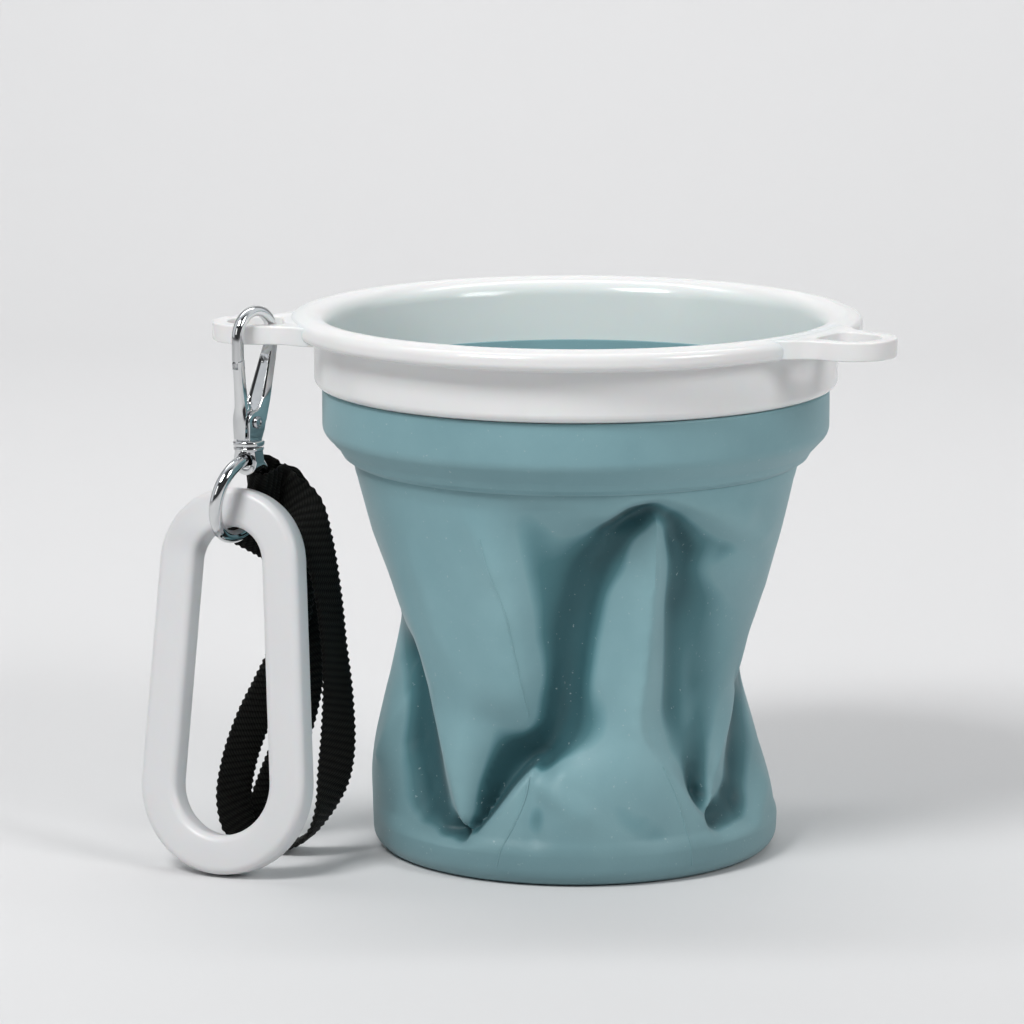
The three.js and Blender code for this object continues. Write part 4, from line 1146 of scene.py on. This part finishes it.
def makeEye():
    discTop = hook["collarBottom"] - 0.3
    headFoot = hook["collarTop"] + 0.65
    post, head = eye["post"], eye["head"]
    profile = filletPath(
        [
            (0, discTop - 1.0),
            (4.0, discTop - 1.0, 0.4),
            (4.0, discTop, 0.4),
            (post, discTop),
            (post, headFoot),
            (head, headFoot),
            (head, headFoot + 0.9, 0.4),
            (0, headFoot + 0.9),
        ],
        5,
    )
    bm = bmesh.new()
    spinProfile(bm, profile, 48)
    half, holeAt = eye["half"], eye["holeAt"]
    foot = holeAt - eye["holeRadius"] - eye["bar"] + half
    outline = [(-half, foot), *arcPoints((0, foot), half, 180, 360, 40)[1:-1], (half, foot)]
    outline += [(half - 0.5, discTop - 0.7), (-half + 0.5, discTop - 0.7)]
    hole = arcPoints((0, holeAt), eye["holeRadius"] - 0.02, 190, 550, 73)[:-1]
    loop = bmesh.new()
    roundedPlate(loop, evenly(outline, 72), hole, -eye["thickness"] / 2, eye["thickness"], 0.8, 5)
    bmesh.ops.transform(loop, verts=loop.verts, matrix=Matrix.Rotation(math.pi / 2, 4, "Z") @ standing)
    joinInto(bm, loop)
    place = Matrix.Translation((axisAt.x, axisAt.y, strandAt.z))
    place = place @ Matrix.Rotation(math.radians(eye["turn"]), 4, "Z")
    bmesh.ops.transform(bm, verts=bm.verts, matrix=place)
    return finishPiece(bm, "turned_eye", "swivel", brightChrome, ["swivel_eye"], sharp=40)


castHook = makeHookBody()
foldedGate = makeGate()
rivetedPin = makeRivet()
woundSpring = makeSpring()
turnedEye = makeEye()
print("hook made at", [round(v, 2) for v in strandAt])


# ring and carry link

ringShape = {
    "radius": 10.45,
    "wire": 1.7,
    "drop": (-0.225, 0.0, -0.974),
    "rest": 0.75,
}
ringRise = eye["holeAt"] - eye["holeRadius"] + ringShape["rest"] + ringShape["wire"]
ringTop = Vector((axisAt.x, axisAt.y, strandAt.z + ringRise))
ringDrop = Vector(ringShape["drop"]).normalized()
ringUp = -ringDrop
eyeTurn = math.radians(eye["turn"])
eyeWay = Vector((math.cos(eyeTurn), math.sin(eyeTurn), 0))
ringAcross = (eyeWay - ringUp * eyeWay.dot(ringUp)).normalized()
ringNormal = ringAcross.cross(ringUp)
ringCentre = ringTop + ringDrop * ringShape["radius"]


def basis(across, up, out, place):
    turned = Matrix((across, up, out)).transposed().to_4x4()
    return Matrix.Translation(place) @ turned


def makeRing():
    bm = bmesh.new()
    made = bmesh.ops.create_circle(bm, segments=28, radius=ringShape["wire"])
    bmesh.ops.rotate(bm, verts=bm.verts, matrix=Matrix.Rotation(math.pi / 2, 3, "X"))
    bmesh.ops.translate(bm, verts=bm.verts, vec=(ringShape["radius"], 0, 0))
    geom = made["verts"] + list(bm.edges)
    bmesh.ops.spin(bm, geom=geom, axis=(0, 0, 1), angle=fullTurn, steps=112, use_merge=True)
    bmesh.ops.remove_doubles(bm, verts=bm.verts, dist=1e-4)
    bmesh.ops.recalc_face_normals(bm, faces=bm.faces)
    bmesh.ops.transform(bm, verts=bm.verts, matrix=basis(ringAcross, ringUp, ringNormal, ringCentre))
    return finishPiece(bm, "welded_ring", "ring", brightChrome, ["ring"])


link = {
    "footOffset": (-6.0, -18.3),
    "footHeight": 0.45,
    "faceTurn": -22.0,
    "footRadius": 23.5,
    "headRadius": 19.8,
    "bar": 10.2,
    "thickness": 8.4,
    "round": 2.2,
    "slack": 1.05,
}


def makeLink():
    foot = Vector((axisAt.x + link["footOffset"][0], axisAt.y + link["footOffset"][1], link["footHeight"]))
    inner = ringCentre + ringDrop * ringShape["radius"] + ringUp * (ringShape["wire"] + link["slack"])
    up = (inner - foot).normalized()
    length = (inner - foot).length + link["bar"]
    turn = math.radians(link["faceTurn"])
    face = Vector((math.sin(turn), -math.cos(turn), 0))
    face = (face - up * face.dot(up)).normalized()
    across = up.cross(face)
    low, high = link["footRadius"], link["headRadius"]
    taper = math.degrees(math.asin((low - high) / (length - low - high)))

    def outline(inset):
        points = arcPoints((0, low), low - inset, 180 - taper, 360 + taper, 40)
        return points + arcPoints((0, length - high), high - inset, taper, 180 - taper, 40)

    bm = bmesh.new()
    outer, inside = evenly(outline(0), 180), evenly(outline(link["bar"]), 180)
    roundedPlate(bm, outer, inside, -link["thickness"] / 2, link["thickness"], link["round"], 6)
    bmesh.ops.transform(bm, verts=bm.verts, matrix=basis(across, up, face, foot))
    return finishPiece(bm, "moulded_link", "link", linkWhite, ["carry_link"], sharp=50)


weldedRing = makeRing()
mouldedLink = makeLink()
print("ring and link made")


# strap: webbing from behind the ring's wire, down and back up to it

strap = {
    "width": 10.0,
    "thickness": 1.05,
    "ribPitch": 1.9,
    "ribHeight": 0.46,
    "step": 0.32,
    "wrapTurn": 20.0,
    "home": (-86.86, -18.5, 95.67),
}
wrapTurn = math.radians(strap["wrapTurn"])
wrapOut = ringAcross * math.cos(wrapTurn) + ringUp * math.sin(wrapTurn)
wrapAlong = ringUp * math.cos(wrapTurn) - ringAcross * math.sin(wrapTurn)
wrapReach = ringShape["wire"] + 0.3 + 0.7 + 0.25
wrapCup = strap["width"] ** 2 / (8 * ringShape["radius"]) + 0.2


def wrapStop(out, side, rise=0.0):
    place = ringCentre + wrapOut * (ringShape["radius"] + out) + ringNormal * side + wrapAlong * rise
    return (*place, *wrapAlong)


def follow(x, y, z, *width):
    home = strap["home"]
    return (x + ringCentre.x - home[0], y + ringCentre.y - home[1], z * ringCentre.z / home[2], *width)


# each stop is a place and the way that the width runs there
strapStops = [
    wrapStop(0.7, -wrapReach),
    wrapStop(3.6, -wrapReach - 0.2, 1.4),
    follow(-78.4, -6.6, 98.4, 0.2, -0.1, 0.96),
    follow(-75.2, -6.6, 97, 0.55, 0.05, 0.8),
    follow(-73.2, -7.6, 91, 0.85, 0.3, 0.4),
    follow(-72, -8.6, 82, 0.8, 0.55, 0.1),
    follow(-71.8, -9.2, 70, 0.7, 0.7, 0),
    follow(-74.5, -8.4, 58, 0.7, 0.65, -0.25),
    follow(-79.5, -6, 46, 0.75, 0.5, -0.4),
    follow(-85, -3.4, 34, 0.8, 0.4, -0.4),
    follow(-89, -1.2, 22, 0.85, 0.4, -0.25),
    follow(-90.4, -0.6, 12, 0.9, 0.4, 0),
    follow(-88.6, -1.8, 4.4, 0.8, 0.55, 0.15),
    follow(-83.5, -5.4, 1.4, 0.55, 0.83, 0.05),
    follow(-76.6, -9.8, 1.5, 0.45, 0.9, 0.05),
    follow(-69.6, -13.4, 5.6, 0.35, 0.93, 0.1),
    follow(-65, -15.2, 14, 0.6, 0.75, 0.2),
    follow(-62.4, -16, 27, 0.9, 0.42, 0),
    follow(-62, -15.6, 42, 0.75, 0.65, 0),
    follow(-63, -15, 57, 0.58, 0.8, 0),
    follow(-64.8, -14.2, 72, 0.62, 0.78, 0.05),
    follow(-67.6, -13, 84, 0.75, 0.6, 0.25),
    follow(-70.6, -11.4, 92, 0.7, 0.3, 0.65),
    follow(-74, -10.6, 95.6, 0.3, 0, 0.95),
    wrapStop(3.2, wrapReach + 0.3),
    wrapStop(0.4, wrapReach),
    wrapStop(-0.75 * wrapReach - wrapCup, 0.8 * wrapReach),
    wrapStop(-wrapReach - wrapCup, 0),
    wrapStop(-0.75 * wrapReach - wrapCup, -0.8 * wrapReach),
    wrapStop(-0.3, -wrapReach),
]


# a second strand, sewn in behind the ring, that hangs beside the first
tailStops = [
    follow(-95.6, -9.8, 90.6, 0.46, 0, 0.89),
    follow(-91, -9.2, 88.4, 0.47, 0, 0.88),
    follow(-84.5, -7.2, 84.8, 0.5, 0.05, 0.86),
    follow(-78.5, -4.6, 80.6, 0.62, 0.15, 0.77),
    follow(-74.2, -3, 74.6, 0.8, 0.35, 0.45),
    follow(-71.8, -3.6, 66.5, 0.8, 0.5, 0.15),
    follow(-70.6, -4.6, 57, 0.8, 0.5, 0),
    follow(-70.9, -5, 45, 0.85, 0.45, -0.1),
    follow(-72.6, -4.4, 36, 0.8, 0.45, -0.3),
    follow(-75.6, -2.6, 27, 0.8, 0.4, -0.4),
    follow(-79.2, 0.4, 18, 0.85, 0.4, -0.3),
    follow(-81.6, 2.6, 10.5, 0.9, 0.35, -0.15),
    follow(-82.2, 4, 5, 0.9, 0.35, 0),
]


def weaveBand(stops):
    line = splineThrough([stop[:3] for stop in stops], 60)
    ways = splineThrough([stop[3:] for stop in stops], 60)
    gone = np.concatenate([[0], np.cumsum(np.linalg.norm(np.diff(line, axis=0), axis=1))])
    count = int(gone[-1] / strap["step"]) + 1
    at = np.linspace(0, gone[-1], count)
    centres = np.stack([np.interp(at, gone, line[:, k]) for k in range(3)], axis=1)
    widths = np.stack([np.interp(at, gone, ways[:, k]) for k in range(3)], axis=1)
    along = np.gradient(centres, axis=0)
    along /= np.linalg.norm(along, axis=1, keepdims=True)
    widths -= along * np.sum(along * widths, axis=1, keepdims=True)
    widths /= np.linalg.norm(widths, axis=1, keepdims=True)
    outs = np.cross(along, widths)

    half, thick = strap["width"] / 2, strap["thickness"] / 2
    across = np.array([-1, -0.97, -0.86, -0.6, -0.3, 0, 0.3, 0.6, 0.86, 0.97, 1])
    face = np.array([0, 0.62, 0.92, 1, 1, 1, 1, 1, 0.92, 0.62, 0])
    section = [(a, f) for a, f in zip(across, face)]
    section += [(a, -f) for a, f in zip(across[-2:0:-1], face[-2:0:-1])]

    def ringAt(i):
        places = []
        for a, f in section:
            rib = 0.5 + 0.5 * math.cos(fullTurn * (at[i] / strap["ribPitch"] + 0.6 * a))
            reach = a * half * (1 if abs(a) < 0.9 else 1 + 0.07 * (rib - 0.5))
            rise = f * (thick + strap["ribHeight"] * (rib - 0.3))
            places.append(Vector(centres[i] + widths[i] * reach + outs[i] * rise))
        return places

    bm = bmesh.new()
    rings = sweepRings(bm, [ringAt(i) for i in range(count)])
    places = {vert: (at[i] * mm, a * half * mm) for i, ring in enumerate(rings) for vert, (a, f) in zip(ring, section)}
    uv = bm.loops.layers.uv.new("weave")
    for cell in bm.faces:
        for corner in cell.loops:
            corner[uv].uv = places[corner.vert]
    return bm, centres, float(gone[-1])


def makeStrap():
    bm, centres, length = weaveBand(tailStops)
    tail = finishPiece(bm, "strap_tail", "ring", blackWebbing)
    print("tail length", round(length, 1), "mm")
    bm, centres, length = weaveBand(strapStops)
    webbing = finishPiece(bm, "strap_band", "ring", blackWebbing, ["strap_webbing"])
    print("strap length", round(length, 1), "mm")
    return webbing


strapBand = makeStrap()
